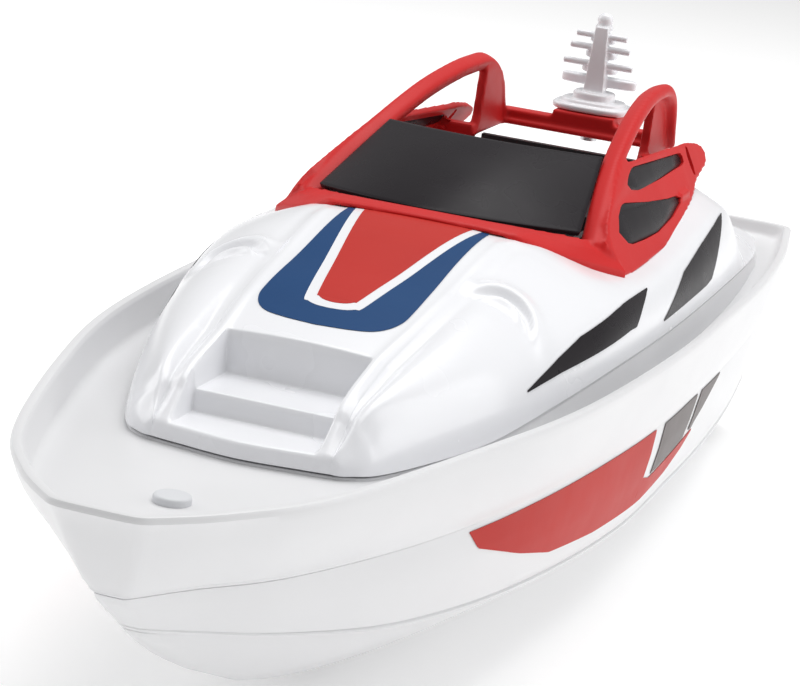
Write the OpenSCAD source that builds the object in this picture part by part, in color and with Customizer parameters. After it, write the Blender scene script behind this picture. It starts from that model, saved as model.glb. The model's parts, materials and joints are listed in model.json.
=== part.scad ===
// A toy motor cruiser for radio control.
// +X is port, -Y is the bow and +Z is up. The keel stands on z = 0.

/* [Hull] */
// Length over all
hull_l = 340; // [320:1:420]
// Breadth over the rim at its widest
hull_b = 102; // [98:1:125]
// Height of the rim above the keel
hull_h = 57; // [55:1:68]
// Wall of the hull and the deck moulding
wall = 1.8; // [1.4:0.1:2.2]
// Height of the deck above the keel
deck_z = 49.5; // [48:0.5:54]
// Thickness of the deck
deck_t = 2; // [1.6:0.1:2.6]

/* [Cabin] */
// Height of the windscreen's top above the deck
cabin_h = 38; // [34:1:46]
// Wall of the cabin moulding
cabin_wall = 1.6; // [1.2:0.1:2]
// Gap between the cabin's skirt and the coaming below it
skirt_gap = 0.5; // [0.4:0.1:0.8]
// Width of the step pocket at the cabin's front
step_w = 26.6; // [20:0.2:28]
// Thickness of the windscreen
screen_t = 1.2; // [0.8:0.1:1.6]
// Thickness of the side windows
pane_t = 1; // [0.8:0.1:1.2]
// Thickness of the stickers
sticker_t = 0.3; // [0.2:0.05:0.5]
// Radius of the round roll bar
bar_r = 2.1; // [1.8:0.1:2.6]

/* [Mast] */
// Height of the mast above its tray
mast_h = 22.5; // [14:0.5:26]
// Radius of the pin that the mast turns on
mast_pin_r = 1.5; // [1.2:0.1:2]
// Radial clearance of a running fit
run_fit = 0.05; // [0.02:0.01:0.08]

/* [Battery] */
// Diameter of a cell
cell_d = 14.2; // [13.5:0.1:15]
// Length of a cell
cell_l = 50; // [44:0.5:52]
// Number of cells side by side
cells = 4; // [2:1:4]
// Clearance round a cell
cell_gap = 0.4; // [0.3:0.1:0.8]
// Thickness of the battery lid
lid_t = 2; // [1.6:0.1:2.6]
// Thickness of the rubber seal under the lid
seal_t = 0.8; // [0.6:0.1:1.2]

/* [Drive] */
// Width of a motor's can
motor_w = 20; // [18:0.5:20]
// Height of a motor's can across its flats
motor_h = 15; // [13:0.5:15]
// Length of a motor's can
motor_l = 25; // [20:1:28]
// Distance of each drive line from the middle
line_x = 20; // [19:0.5:21]
// Fall of each drive line towards the stern, in degrees
line_fall = 6; // [4:0.5:7]
// Radius of a propeller shaft
shaft_r = 1; // [0.8:0.1:1.2]
// Radius of a stern tube
tube_r = 2.4; // [2.2:0.1:2.8]
// Radius of a propeller
prop_r = 9; // [7:0.5:9.2]
// Number of blades on a propeller
blades = 3; // [2:1:4]

/* [Fasteners] */
// Radius of a screw's shank
screw_r = 1.2; // [1:0.1:1.4]
// Radius of a screw's head
head_r = 2.4; // [2.2:0.1:2.6]
// Radius of a screw boss
boss_r = 3.4; // [3:0.1:4]

/* [Hidden] */
$fn = 48;

// The lines below are drawn for a boat of this size, and are scaled to the sizes above.
ref_l = 340;
ref_b = 102;
ref_h = 57;
ref_deck = 49.5;
ref_cabin = 38;
ref_mast = 22.5;
kx = hull_b / ref_b;
ky = hull_l / ref_l;
kz = hull_h / ref_h;
kc = cabin_h / ref_cabin;
stern_y = hull_l / 2;
white = [0.93, 0.93, 0.94];
red = [0.86, 0.16, 0.14];
black = [0.12, 0.11, 0.12];

// Curves through hand-set points.
function catmull(a, b, c, d, t) = 0.5 * (2 * b + (c - a) * t
    + (2 * a - 5 * b + 4 * c - d) * t * t + (3 * b - a - 3 * c + d) * t * t * t);
function at(p, i) = p[max(0, min(len(p) - 1, i))];
function curve(p, n) = concat(
    [for (i = [0:len(p) - 2]) for (k = [0:n - 1])
        catmull(at(p, i - 1), p[i], p[i + 1], at(p, i + 2), k / n)],
    [p[len(p) - 1]]);
function above(p, z) = [for (q = p) [q[0], q[1], max(z, q[2])]];

// Each line holds the port side of a closed loop, from bow to stern.
steps = 3;
function hull_line(p) = above(curve([for (q = p) [q[0] * kx, q[1] * ky, q[2] * kz]], steps), 0);
function cabin_line(p) = curve([for (q = p)
    [q[0] * kx, q[1] * ky, deck_z + (q[2] - ref_deck) * kc]], steps);
rim = hull_line([[7, -170, 56.5], [17, -159, 56.5], [27.5, -140, 56.5], [39, -100, 57],
    [47, -60, 57], [51, -5, 56.5], [51, 45, 55.5], [50.2, 85, 54.8],
    [47, 128, 54], [41, 170, 53]]);
knuckle = hull_line([[3, -161.5, 40.5], [9.5, -150, 40.3], [20, -133, 40], [32.5, -100, 40],
    [41, -60, 40], [46.8, -5, 39.5], [47.4, 45, 38.6], [46.5, 85, 37.8], [43.7, 127, 36.6],
    [38.5, 169, 35]]);
chine = hull_line([[1.4, -150, 32], [6.5, -142, 30.3], [16.5, -125, 27], [28, -100, 23.8],
    [37, -60, 20.8], [42, -5, 17.5], [42, 45, 15.8], [41.2, 85, 14.6], [39, 126, 13.8],
    [35, 168, 13]]);
keel = hull_line([[0.9, -147, 30], [1.6, -139, 25.8], [3, -122, 16.7], [4, -104, 9.6],
    [5, -70, 2], [5, -20, 0], [5, 40, 0], [5, 80, 0], [5, 123, 0], [5, 167, 0]]);
skirt = cabin_line([[9, -111.8, 50.4], [18.5, -109.5, 50.4], [24, -102.5, 50.4],
    [31.9, -80, 51], [36.6, -60, 53], [42, -25, 56], [44, 20, 56.2], [43.5, 75, 55.5],
    [40, 125, 52.5], [35, 152, 51]]);
shoulder = cabin_line([[8.5, -110.5, 53], [17, -106.5, 56.5], [21.5, -98, 59.5],
    [28.5, -78, 62], [33.5, -58, 64], [39, -24, 67.3], [40.5, 20, 67.5], [38.5, 84, 69.5],
    [35, 106, 61], [30, 149, 54]]);
ridge = cabin_line([[8, -107, 55.5], [13, -101, 60], [15.5, -90, 63.3], [16.5, -74, 67.3],
    [17.2, -56, 71], [18.5, -27, 75.6], [28, 12, 70], [29.5, 82, 74], [24, 106, 64],
    [18, 146, 55.5]]);

// A line moved inwards by d and upwards by dz; its ends move along the boat too.
function inset(p, d, dz = 0) = [for (i = [0:len(p) - 1])
    [max(0.3, p[i][0] - d), p[i][1] + (i == 0 ? d : i == len(p) - 1 ? -d : 0), p[i][2] + dz]];
function level(p, z) = [for (q = p) [q[0], q[1], z]];

// A closed solid through loops that go down its outside, each mirrored to starboard.
function loops(lines) = [for (p = lines)
    each concat(p, [for (i = [len(p) - 1:-1:0]) [-p[i][0], p[i][1], p[i][2]]])];
module loft(lines) {
    m = len(lines[0]);
    n = 2 * m;
    last = (len(lines) - 1) * n;
    sides = [for (k = [0:len(lines) - 2]) for (i = [0:n - 1])
        let (a = k * n + i, b = k * n + (i + 1) % n) each [[a, b, b + n], [a, b + n, a + n]]];
    top = [for (i = [0:m - 2]) each [[i, n - 1 - i, n - 2 - i], [i, n - 2 - i, i + 1]]];
    bottom = [for (i = [0:m - 2]) each [[last + i, last + i + 1, last + n - 2 - i],
        [last + i, last + n - 2 - i, last + n - 1 - i]]];
    polyhedron(loops(lines), concat(sides, top, bottom));
}

// A closed ring whose section goes through the given loops.
module hoop(lines) {
    n = 2 * len(lines[0]);
    c = len(lines);
    polyhedron(loops(lines), [for (k = [0:c - 1]) for (i = [0:n - 1])
        let (a = k * n + i, b = k * n + (i + 1) % n, d = (k + 1) % c * n - k * n)
            each [[a, b, b + d], [a, b + d, a + d]]]);
}

// A closed solid through sections, each a closed loop of points.
module sweep(sections) {
    n = len(sections[0]);
    last = (len(sections) - 1) * n;
    sides = [for (k = [0:len(sections) - 2]) for (i = [0:n - 1])
        let (a = k * n + i, b = k * n + (i + 1) % n) each [[a, b, b + n], [a, b + n, a + n]]];
    ends = [for (i = [1:n - 2]) each [[0, i + 1, i], [last, last + i, last + i + 1]]];
    polyhedron([for (s = sections) each s], concat(sides, ends));
}

// Round sections of radius r along a path, with the frame kept upright.
function unit(v) = v / norm(v);
function heading(p, i) = unit(at(p, i + 1) - at(p, i - 1));
function rings(p, r, n) = [for (i = [0:len(p) - 1])
    let (t = heading(p, i), s = unit(cross(t, abs(t[2]) > 0.95 ? [0, 1, 0] : [0, 0, 1])),
        u = cross(s, t))
    [for (k = [0:n - 1]) p[i] + r * (cos(360 * k / n) * s + sin(360 * k / n) * u)]];
module wire(route, r) sweep(rings(curve(route, 2), r, 8));
module both_sides() {
    children();
    mirror([1, 0, 0]) children();
}

// The screw places, on both sides of the boat, and the one under the foredeck plug.
plug_y = -139 * ky;
plug_r = 3.15;
aft_boss_y = stern_y - 70;
boss_places = [[0, plug_y], [25, -74 * ky], [-25, -74 * ky], [32, aft_boss_y], [-32, aft_boss_y]];
boss_top = deck_z - deck_t;
pilot_depth = 10;

// The battery bay, which hangs from the deck.
bay_wall = 1.4;
pitch = cell_d + cell_gap;
spring_l = 2.5;
bay_w = cells * pitch + cell_gap;
bay_l = cell_l + 2 * spring_l;
bay_y = -8;
flange_t = 1.4;
flange_w = 2.2;
bay_top = deck_z + flange_t;
bay_depth = cell_d + 3;
bay_floor = bay_top - bay_depth;
flange_x = bay_w / 2 + bay_wall + flange_w;
flange_y = bay_l / 2 + bay_wall + flange_w;
lid_screw_x = 20;
lid_screw_y = flange_y + 2.5;
lid_end = 5.5;

// The drive lines: y runs along a line from the propeller, which is at its zero.
prop_y = stern_y - 13;
prop_z = 11.5;
well_w = 2 * prop_r + 3;
well_front = stern_y - 24;
well_top = prop_z + prop_r + 2;
motor_face = -68;
clamp_x = motor_w / 2 + 3.6;
tube_front = -46;
tube_back = -9;
coupling_l = 12;
coupling_y = -60;
module on_line(side) translate([side * line_x, prop_y, prop_z]) rotate([-line_fall, 0, 0]) children();
module rod(r, y0, y1) translate([0, y0, 0]) rotate([-90, 0, 0]) cylinder(r = r, h = y1 - y0);

// The cabin's own places.
function cz(z) = deck_z + (z - ref_deck) * kc;
function cabin_point(p) = [p[0] * kx, p[1] * ky, cz(p[2])];
tread_low = cz(53.2);
tread_high = cz(57);
riser_y = -100.8 * ky;
pocket_back = -86.5 * ky;
tub_x = 21.5;
tub_front = -4 * ky;
tub_back = 93 * ky;
tub_floor = cz(59);
tub_fit = 0.4;

module hull_bottom() color(white) {
    ledge = inset(knuckle, 1, -0.9);
    shelf = inset(knuckle, wall + 1.2, -0.9);
    lip = inset(knuckle, wall + 1.2, 3.5);
    outside = [ledge, chine, keel];
    difference() {
        union() {
            loft([inset(keel, 0.6, wall), inset(chine, wall, 1.4), inset(knuckle, wall + 2.4, -2),
                inset(knuckle, wall + 2.6, 3.5), lip, shelf, ledge, chine, keel]);
            intersection() {
                loft(outside);
                union() {
                    both_sides()
                        translate([line_x - well_w / 2 - wall, well_front - wall, 0])
                            cube([well_w + 2 * wall, 40, well_top + wall]);
                    both_sides()
                        on_line(1)
                            rod(tube_r + 1.8, tube_front + 6, tube_back - 1);
                    both_sides()
                        on_line(1)
                            for (dx = [-clamp_x, clamp_x])
                                translate([dx - 2.5, motor_face - motor_l / 2 - 4, -40])
                                    cube([5, 8, 40]);
                    both_sides()
                        on_line(1)
                            translate([-clamp_x - 2.5, motor_face - motor_l / 2 - 4, -40])
                                cube([2 * clamp_x + 5, 8, 39.9 - motor_h / 2]);
                    for (p = boss_places)
                        translate([p[0], p[1], 0])
                            cylinder(r = boss_r, h = 30);
                    for (p = board_posts)
                        translate([p[0], p[1], 0])
                            cylinder(r = post_r, h = 30);
                }
            }
            for (p = board_posts)
                translate([p[0], p[1], 28])
                    cylinder(r = post_r, h = board_z - 28.1);
            for (p = boss_places)
                translate([p[0], p[1], 28])
                    cylinder(r = boss_r, h = boss_top - 28 - 0.1);
            both_sides()
                translate([line_x, 0, 0])
                    skeg();
        }
        both_sides()
            translate([line_x - well_w / 2, well_front, -1])
                cube([well_w, 60, well_top + 1]);
        both_sides()
            on_line(1)
                rod(tube_r, tube_front - 4, tube_back + 8);
        for (p = boss_places)
            translate([p[0], p[1], boss_top - pilot_depth])
                cylinder(r = screw_r + run_fit, h = 60);
        for (p = board_posts)
            translate([p[0], p[1], board_z - 7])
                cylinder(r = screw_r + run_fit, h = 60);
        both_sides()
            translate([sensor_x, sensor_y, -1])
                cylinder(r = sensor_r + run_fit, h = 30);
        both_sides()
            on_line(1)
                for (dx = [-clamp_x, clamp_x])
                    translate([dx, motor_face - motor_l / 2, -6])
                        cylinder(r = clamp_screw_r + run_fit, h = 10);
    }
}

sensor_x = 12;
sensor_y = -20;
sensor_r = 1.2;
clamp_screw_r = 0.9;
skeg_t = 3;
skeg_l = 60;
module skeg() {
    translate([-skeg_t / 2, 0, 0])
        rotate([90, 0, 90])
            linear_extrude(skeg_t)
                polygon([[well_front - skeg_l, 8.5], [well_front - skeg_l + 22, 0],
                    [well_front - 5, 0], [well_front - 1, 8.5]]);
}

module deck_seal() color("dimgray")
    hoop([inset(knuckle, 1.1, -0.1), inset(knuckle, 1.1, -0.8), inset(knuckle, wall - 0.1, -0.8),
        inset(knuckle, wall - 0.1, -0.1)]);

module deck_moulding() color(white) difference() {
    coaming = inset(skirt, 0, -skirt_gap);
    loft([level(inset(coaming, 5), deck_z), inset(coaming, 4), inset(coaming, 0.2),
        level(inset(coaming, -0.7), deck_z - 0.02), level(inset(rim, 3.6), deck_z - 0.04),
        inset(rim, 2), rim, knuckle, inset(knuckle, wall),
        level(inset(rim, 3.6 + wall), boss_top)]);
    translate([-bay_w / 2 - bay_wall - 0.3, bay_y - bay_l / 2 - bay_wall - 0.3, 0])
        cube([bay_w + 2 * bay_wall + 0.6, bay_l + 2 * bay_wall + 0.6, 80]);
    for (p = boss_places)
        translate([p[0], p[1], 0])
            cylinder(r = screw_r + 0.3, h = 80);
    translate([0, plug_y, deck_z - plug_sink])
        cylinder(r = plug_r, h = 10);
    for (p = lid_screws)
        translate([p[0], p[1], 0])
            cylinder(r = screw_r + run_fit, h = 80);
    translate([-switch_l / 2 - 0.2, switch_y - switch_w / 2 - 0.2, 0])
        cube([switch_l + 0.4, switch_w + 0.4, 80]);
}

plug_sink = 1;
module foredeck_plug() color("gainsboro")
    translate([0, plug_y, deck_z - plug_sink]) {
        rotate_extrude()
            polygon([[0, head_h + 0.1], [plug_r - 0.55, head_h + 0.1], [plug_r - 0.55, 0],
                [plug_r - run_fit, 0], [plug_r - run_fit, plug_sink + head_h - 0.3],
                [plug_r - 0.4, plug_sink + head_h], [0, plug_sink + head_h]]);
    }

head_h = 1.3;
module screw(length) {
    cylinder(r = head_r, h = head_h);
    translate([0, 0, -length])
        cylinder(r = screw_r, h = length + 0.1);
}
module cross_screw(length) difference() {
    screw(length);
    for (a = [0, 90])
        translate([0, 0, head_h])
            rotate([0, 0, a])
                cube([head_r * 1.2, 0.5, 1.2], center = true);
}

module hull_screws() color("silver") {
    for (p = boss_places)
        translate([p[0], p[1], p[0] == 0 ? deck_z - plug_sink : deck_z])
            cross_screw(10);
}

// Stickers and side windows lie on the surface between two lines. Each row of a patch holds
// a place along the boat, the patch's top and its bottom there.
function side_x(upper, lower, y, z) =
    let (a = lookup(y, [for (q = upper) [q[1], q[0]]]), b = lookup(y, [for (q = lower) [q[1], q[0]]]),
        za = lookup(y, [for (q = upper) [q[1], q[2]]]), zb = lookup(y, [for (q = lower) [q[1], q[2]]]))
    b + (a - b) * (z - zb) / (za - zb);
function filled(rows, n) = concat([for (i = [0:len(rows) - 2]) for (k = [0:n - 1])
    rows[i] + (rows[i + 1] - rows[i]) * k / n], [rows[len(rows) - 1]]);
sticker_gap = 0.3;
module patch(upper, lower, rows) both_sides()
    sweep([for (r = filled(rows, 3)) let (a = [side_x(upper, lower, r[0], r[1]) + sticker_gap, r[0], r[1]],
        b = [side_x(upper, lower, r[0], r[2]) + sticker_gap, r[0], r[2]], out = [sticker_t, 0, 0])
        [a, b, b + out, a + out]]);
function hull_rows(rows) = [for (r = rows) [r[0] * ky, r[1] * kz, r[2] * kz]];
function cabin_rows(rows) = [for (r = rows) [r[0] * ky, cz(r[1]), cz(r[2])]];
side_top = inset(knuckle, 1, -0.9);
module red_hull_stickers() color(red)
    patch(side_top, chine, hull_rows([[-90, 38.6, 38.2], [-82, 38.6, 34.5], [-60, 38.5, 28.7],
        [-41.5, 38.4, 23.8], [-12, 38.2, 21], [4, 37.8, 20], [22, 21.8, 18.8], [48, 23.6, 18.6],
        [60, 24, 18.6]]));
module grey_hull_stickers() color("gray") {
    patch(side_top, chine, hull_rows([[13, 37.4, 37], [23.5, 37.2, 23], [45, 36.8, 24.8],
        [48.5, 25.3, 24.9]]));
    patch(side_top, chine, hull_rows([[51, 36.7, 36.4], [58, 36.6, 24.8], [72, 36.4, 36]]));
}
module front_cabin_windows() color(black)
    patch(shoulder, skirt, cabin_rows([[-64, 57.8, 57.4], [-39, 64.2, 60.2], [-15, 66.1, 60.5],
        [-8, 66.1, 60.4], [5, 66.2, 65.9]]));
module rear_cabin_windows() color(black)
    patch(shoulder, skirt, cabin_rows([[15, 58, 57.6], [35, 64, 57.9], [66, 66.7, 58],
        [88, 68.6, 68.2]]));

module cabin_outside() loft([ridge, shoulder, skirt]);
step_profile = [[-120 * ky, tread_low], [riser_y, tread_low], [riser_y, tread_high],
    [pocket_back, tread_high], [pocket_back - 0.3, tread_high + 30], [-120 * ky, tread_high + 30]];
module across(width, profile)
    translate([-width / 2, 0, 0])
        rotate([90, 0, 90])
            linear_extrude(width)
                polygon(profile);

module cabin_shell() color("white") difference() {
    union() {
        loft([ridge, shoulder, skirt, inset(skirt, cabin_wall, 0.3), inset(shoulder, cabin_wall, -1),
            inset(ridge, cabin_wall, -cabin_wall)]);
        intersection() {
            cabin_outside();
            translate([-step_w / 2 - cabin_wall, -115 * ky, deck_z + 1.2])
                cube([step_w + 2 * cabin_wall, 115 * ky + pocket_back + cabin_wall, 60]);
        }
        both_sides()
            intersection() {
                cabin_bump();
                translate([0, -70, cz(60)])
                    cube([60, 60, 60]);
            }
        intersection() {
            cabin_outside();
            for (p = canopy_screw_places)
                translate([p[0], p[1], screw_seat])
                    cylinder(r = boss_r, h = 20);
        }
    }
    across(step_w, step_profile);
    translate([-step_w / 2 + 2, riser_y + 1.5, 0])
        cube([step_w - 4, pocket_back - riser_y - 1.5 + 4, tread_high - cabin_wall]);
    translate([-tub_x - tub_fit, tub_front - tub_fit, cz(58)])
        cube([2 * tub_x + 2 * tub_fit, tub_back - tub_front + 2 * tub_fit, 60]);
    for (p = canopy_screw_places)
        translate([p[0], p[1], cz(60)])
            cylinder(r = screw_r + 0.3, h = 20);
}
bump_place = cabin_point([26.5, -46, 64.5]);
bump_r = 7;
module cabin_bump()
    translate(bump_place)
        sphere(r = bump_r);

// The bonnet's flat stickers lie on the surface between the two ridges.
bonnet = [for (q = ridge) [q[1], q[2]]];
module bonnet_skin(outline) intersection() {
    translate([-60, 0, 0])
        rotate([90, 0, 90])
            linear_extrude(120)
                polygon(concat([for (i = [8:15]) bonnet[i] + [0, sticker_gap]],
                    [for (i = [15:-1:8]) bonnet[i] + [0, sticker_gap + sticker_t]]));
    linear_extrude(200)
        polygon([for (q = outline) [q[0] * kx, q[1] * ky]]);
}
function mirror_outline(p) = concat(p, [for (i = [len(p) - 1:-1:0]) [-p[i][0], p[i][1]]]);
red_tongue = mirror_outline([[10.1, -29.5], [7.5, -46], [3.8, -68.5], [2.2, -70.3]]);
white_tongue = mirror_outline([[11.9, -29.5], [9.4, -46], [5.6, -69.5], [3, -72.6]]);
blue_tongue = mirror_outline([[13.6, -29.5], [13.8, -46], [13.9, -66], [13.2, -73], [10.5, -77.5],
    [4, -79.5]]);
module red_bonnet_sticker() color(red) bonnet_skin(red_tongue);
module blue_bonnet_sticker() color([0.15, 0.34, 0.56]) difference() {
    bonnet_skin(blue_tongue);
    linear_extrude(200)
        polygon([for (q = white_tongue) [q[0] * kx, q[1] * ky + (q[1] > -30 ? 5 : 0)]]);
}

// The canopy: a brow under the windscreen, two side panels that lean in, and two roll bars.
side_lean = 28.8;
side_toe = 2;
side_t = 1.8;
side_foot = cabin_point([37, -2.5, 68.9]);
function side_flat(p) = [for (q = p) [(q[0] + 2.5) * ky, (q[1] - 68.9) * kc / cos(side_lean)]];
side_outline = side_flat([[0, 68.9], [49, 69.3], [60, 71.6], [81, 75.7], [100, 77], [99.5, 80.7],
    [84, 83.5], [20, 86.5], [8, 82.5], [-2, 75.5]]);
upper_pane = side_flat([[21.5, 82], [29.5, 84.2], [76.5, 81.6], [77, 79.6], [33.4, 79.9]]);
lower_pane = side_flat([[2.5, 76.2], [13, 79], [58, 74.9], [60, 73.9], [50, 72.4], [8, 72.3]]);
wing_slot = side_flat([[83, 82.6], [85, 82.6], [88, 76.4], [86, 76.4]]);
module on_side()
    translate(side_foot)
        rotate([0, 0, side_toe])
            rotate([0, -side_lean, 0])
                rotate([90, 0, 90])
                    children();
module side_plate(outline, t, gap = 0) on_side()
    translate([0, 0, -side_t + gap])
        linear_extrude(t)
            polygon(outline);

function brow_row(x, y, z, gx, gy, gz) =
    [cabin_point([gx, gy, min(gz, z) - 0.1]), cabin_point([gx, gy, gz]),
        cabin_point([x * 0.995, y + 0.2, z + 1.1]), cabin_point([x, y, z])];
brow = [brow_row(36.9, -2.2, 69, 29, -3.5, 74.5), brow_row(30, -12, 71.4, 27.2, -6.5, 75.2),
    brow_row(23.5, -19.5, 73.8, 22, -10.2, 75.9), brow_row(18, -25.2, 75.9, 17.6, -14.4, 76.6),
    brow_row(9, -26.8, 76.3, 9, -17.6, 77.2)];
brow_middle = brow_row(0, -27.2, 76.4, 0, -18.9, 77.5);
bar_path = [for (q = [[29.6, -4.5, 73.6], [27.6, 9, 80], [25.4, 24, 85.6], [23.4, 45, 90.9],
    [21.6, 64, 94], [20.6, 78, 94.6], [20, 88, 91.5], [19.6, 94, 86], [19.5, 98, 79.2]]) cabin_point(q)];
bridge_y = 98 * ky;
bridge_z = cz(77.6);
bridge_t = 3;
block_x = 7.3;
block_h = 5.4;
mast_y = 107 * ky;
module canopy_frame() color(red) difference() {
    union() {
        both_sides()
            difference() {
                side_plate(side_outline, side_t);
                side_plate(upper_pane, side_t + 2, -1);
                side_plate(lower_pane, side_t + 2, -1);
                side_plate(wing_slot, side_t + 2, -1);
            }
        sweep(concat(brow, [brow_middle], mirrored_rows(brow)));
        both_sides()
            sweep(rings(curve(bar_path, 3), bar_r, 10));
        translate([-19.5, bridge_y, bridge_z])
            cube([39, 4.5, bridge_t]);
        translate([-block_x, bridge_y, bridge_z])
            cube([2 * block_x, mast_y - bridge_y + 6, block_h]);
        both_sides()
            translate([18.4, 84 * ky, bridge_z])
                cube([2, bridge_y - 84 * ky + 2, cz(88) - bridge_z]);
        both_sides() {
            translate([23, 20 * ky, foot_z])
                cube([6.6, 50 * ky, 3]);
            translate([23, 62 * ky, foot_z])
                cube([10, 8 * ky, 4]);
        }
    }
    translate([0, 0, 0.02])
        cabin_outside();
    translate([0, mast_y, 0])
        cylinder(r = mast_pin_r + run_fit, h = 200);
    for (p = canopy_screw_places)
        translate([p[0], p[1], cz(60)])
            cylinder(r = screw_r + run_fit, h = foot_z + 2.6 - cz(60));
}
foot_z = cz(71.6);
function mirrored_rows(p) = [for (i = [len(p) - 1:-1:0]) [for (q = p[i]) [-q[0], q[1], q[2]]]];
canopy_screw_places = [for (s = [-1, 1]) for (y = [24, 62]) [s * 26.3 * kx, y * ky]];
screw_seat = cz(67);
module canopy_screws() color("silver")
    for (p = canopy_screw_places)
        translate([p[0], p[1], screw_seat])
            mirror([0, 0, 1])
                cross_screw(foot_z + 2.4 - screw_seat);

// The windscreen is ruled between two arcs.
function screen_low(u) = cabin_point([26 * u, -18.6 + 13.6 * u * u, 77.5 - 1.6 * u * u]);
function screen_high(u) = cabin_point([22.2 * u, 15 + 8.5 * u * u, 87.3 - 0.9 * u * u]);
module windscreen() color(black)
    sweep([for (k = [-8:8]) let (u = -k / 8, back = [0, 0.3, -1] * screen_t)
        [screen_low(u) + back, screen_high(u) + back, screen_high(u), screen_low(u)]]);

pane_fit = 0.15;
module upper_side_windows() color(black) both_sides() side_plate(shrunk(upper_pane), pane_t, 0.3);
module lower_side_windows() color(black) both_sides() side_plate(shrunk(lower_pane), pane_t, 0.3);
function middle(p) = [for (v = [0, 1]) [for (q = p) q[v]] * [for (q = p) 1] / len(p)];
function shrunk(p) = [for (q = p) q - unit(q - middle(p)) * pane_fit];

tub_wall = 1.4;
module cockpit_tub() color(black) {
    depth = cz(70.2) - tub_floor;
    length = tub_back - tub_front;
    translate([-tub_x, tub_front, tub_floor])
        difference() {
            cube([2 * tub_x, length, depth]);
            translate([tub_wall, tub_wall, tub_wall])
                cube([2 * tub_x - 2 * tub_wall, length - 2 * tub_wall, depth]);
        }
    translate([-tub_x, tub_back - 2, tub_floor])
        cube([2 * tub_x, 2, cz(75.6) - tub_floor]);
    translate([-tub_x + 1, tub_back - 24, tub_floor + 1])
        cube([2 * tub_x - 2, 23, 5]);
    translate([-tub_x + 1, tub_front + 1, tub_floor + 1])
        cube([2 * tub_x - 2, 16, depth - 3]);
}

// The mast turns on a round pin, which a screw and a washer hold in the block.
mast_z = bridge_z + block_h + 0.15;
washer_z = bridge_z - 0.15;
module rod_pair(z, half, y) translate([-half, mast_y + y, mast_z + z * mast_h / ref_mast])
    rotate([0, 90, 0])
        cylinder(r = 0.75, h = 2 * half);
module mast() color("whitesmoke") {
    difference() {
        translate([0, mast_y, bridge_z])
            cylinder(r = mast_pin_r, h = block_h + 1);
        translate([0, mast_y, bridge_z - 1])
            cylinder(r = 0.7, h = 5);
    }
    translate([-9, mast_y - 8.5, mast_z])
        rotate([90, 0, 90])
            linear_extrude(18)
                polygon([[1.5, 0], [0, 1.2], [0.3, 2.4], [15.5, 2.4], [16, 1.2], [14.5, 0]]);
    translate([-1.5, 0, 0])
        rotate([90, 0, 90])
            linear_extrude(3)
                polygon([[mast_y - 4.5, mast_z + 2], [mast_y + 5, mast_z + 2],
                    [mast_y + 1.5, mast_z + mast_h - 3], [mast_y - 1.5, mast_z + mast_h - 3]]);
    translate([-8.5, mast_y - 1, mast_z + 3.4])
        cube([17, 6, 2]);
    for (k = [0:2])
        translate([-6 + k, mast_y, mast_z + 7 + 4 * k])
            cube([12 - 2 * k, 2.4, 3]);
    rod_pair(10.4, 8.3, -1.6);
    rod_pair(14.2, 7.1, -1.2);
    rod_pair(17.1, 6, -0.8);
    translate([0, mast_y, mast_z + mast_h - 3.4])
        cylinder(r = 2.1, h = 1.2);
    translate([0, mast_y, mast_z + mast_h - 1.6])
        sphere(r = 1.85);
}
module mast_washer() color("silver")
    translate([0, mast_y, washer_z - 0.5])
        difference() {
            cylinder(r = 2.6, h = 0.5);
            translate([0, 0, -1])
                cylinder(r = 0.75, h = 3);
        }
module mast_screw() color("gray")
    translate([0, mast_y, washer_z - 0.5]) {
        translate([0, 0, -1.1])
            cylinder(r = 1.9, h = 1.1);
        cylinder(r = 0.7, h = 4);
    }

lid_screws = [for (s = [-1, 1]) for (t = [-1, 1]) [s * lid_screw_x, bay_y + t * lid_screw_y]];
module bay_plate(t, hole) {
    y = flange_y + lid_end;
    difference() {
        translate([-flange_x, bay_y - y, 0])
            cube([2 * flange_x, 2 * y, t]);
        for (p = lid_screws)
            translate([p[0], p[1], -1])
                cylinder(r = hole, h = t + 2);
    }
}
module bay_hollow(t) translate([-bay_w / 2, bay_y - bay_l / 2, -t]) cube([bay_w, bay_l, 90]);
module battery_box() color("dimgray") difference() {
    union() {
        translate([0, 0, deck_z])
            bay_plate(flange_t, screw_r + 0.3);
        translate([-bay_w / 2 - bay_wall, bay_y - bay_l / 2 - bay_wall, bay_floor - bay_wall])
            cube([bay_w + 2 * bay_wall, bay_l + 2 * bay_wall, bay_depth + bay_wall]);
    }
    translate([0, 0, bay_floor])
        bay_hollow(0);
}
module battery_seal() color("black") translate([0, 0, bay_top]) difference() {
    bay_plate(seal_t, screw_r + 0.3);
    bay_hollow(1);
}
module battery_lid() color("dimgray") translate([0, 0, bay_top + seal_t]) bay_plate(lid_t, screw_r + 0.3);
module battery_lid_screws() color("silver")
    for (p = lid_screws)
        translate([p[0], p[1], bay_top + seal_t + lid_t])
            cross_screw(6);
cell_z = bay_floor + cell_d / 2 + 0.5;
function cell_x(i) = (i - (cells - 1) / 2) * pitch;
module cells() color("steelblue")
    for (i = [0:cells - 1])
        translate([cell_x(i), bay_y, cell_z])
            rotate([i % 2 == 0 ? -90 : 90, 0, 0]) {
                translate([0, 0, -cell_l / 2])
                    cylinder(r = cell_d / 2, h = cell_l - 1.2);
                translate([0, 0, cell_l / 2 - 1.3])
                    cylinder(r = 2.7, h = 1.3);
            }
module battery_contacts() color("silver")
    for (i = [0:cells - 1])
        for (t = [-1, 1])
            translate([cell_x(i) - 4.5, bay_y + t * (bay_l / 2 - 0.35) - 0.3, bay_floor + 2])
                cube([9, 0.6, 10]);

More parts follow.
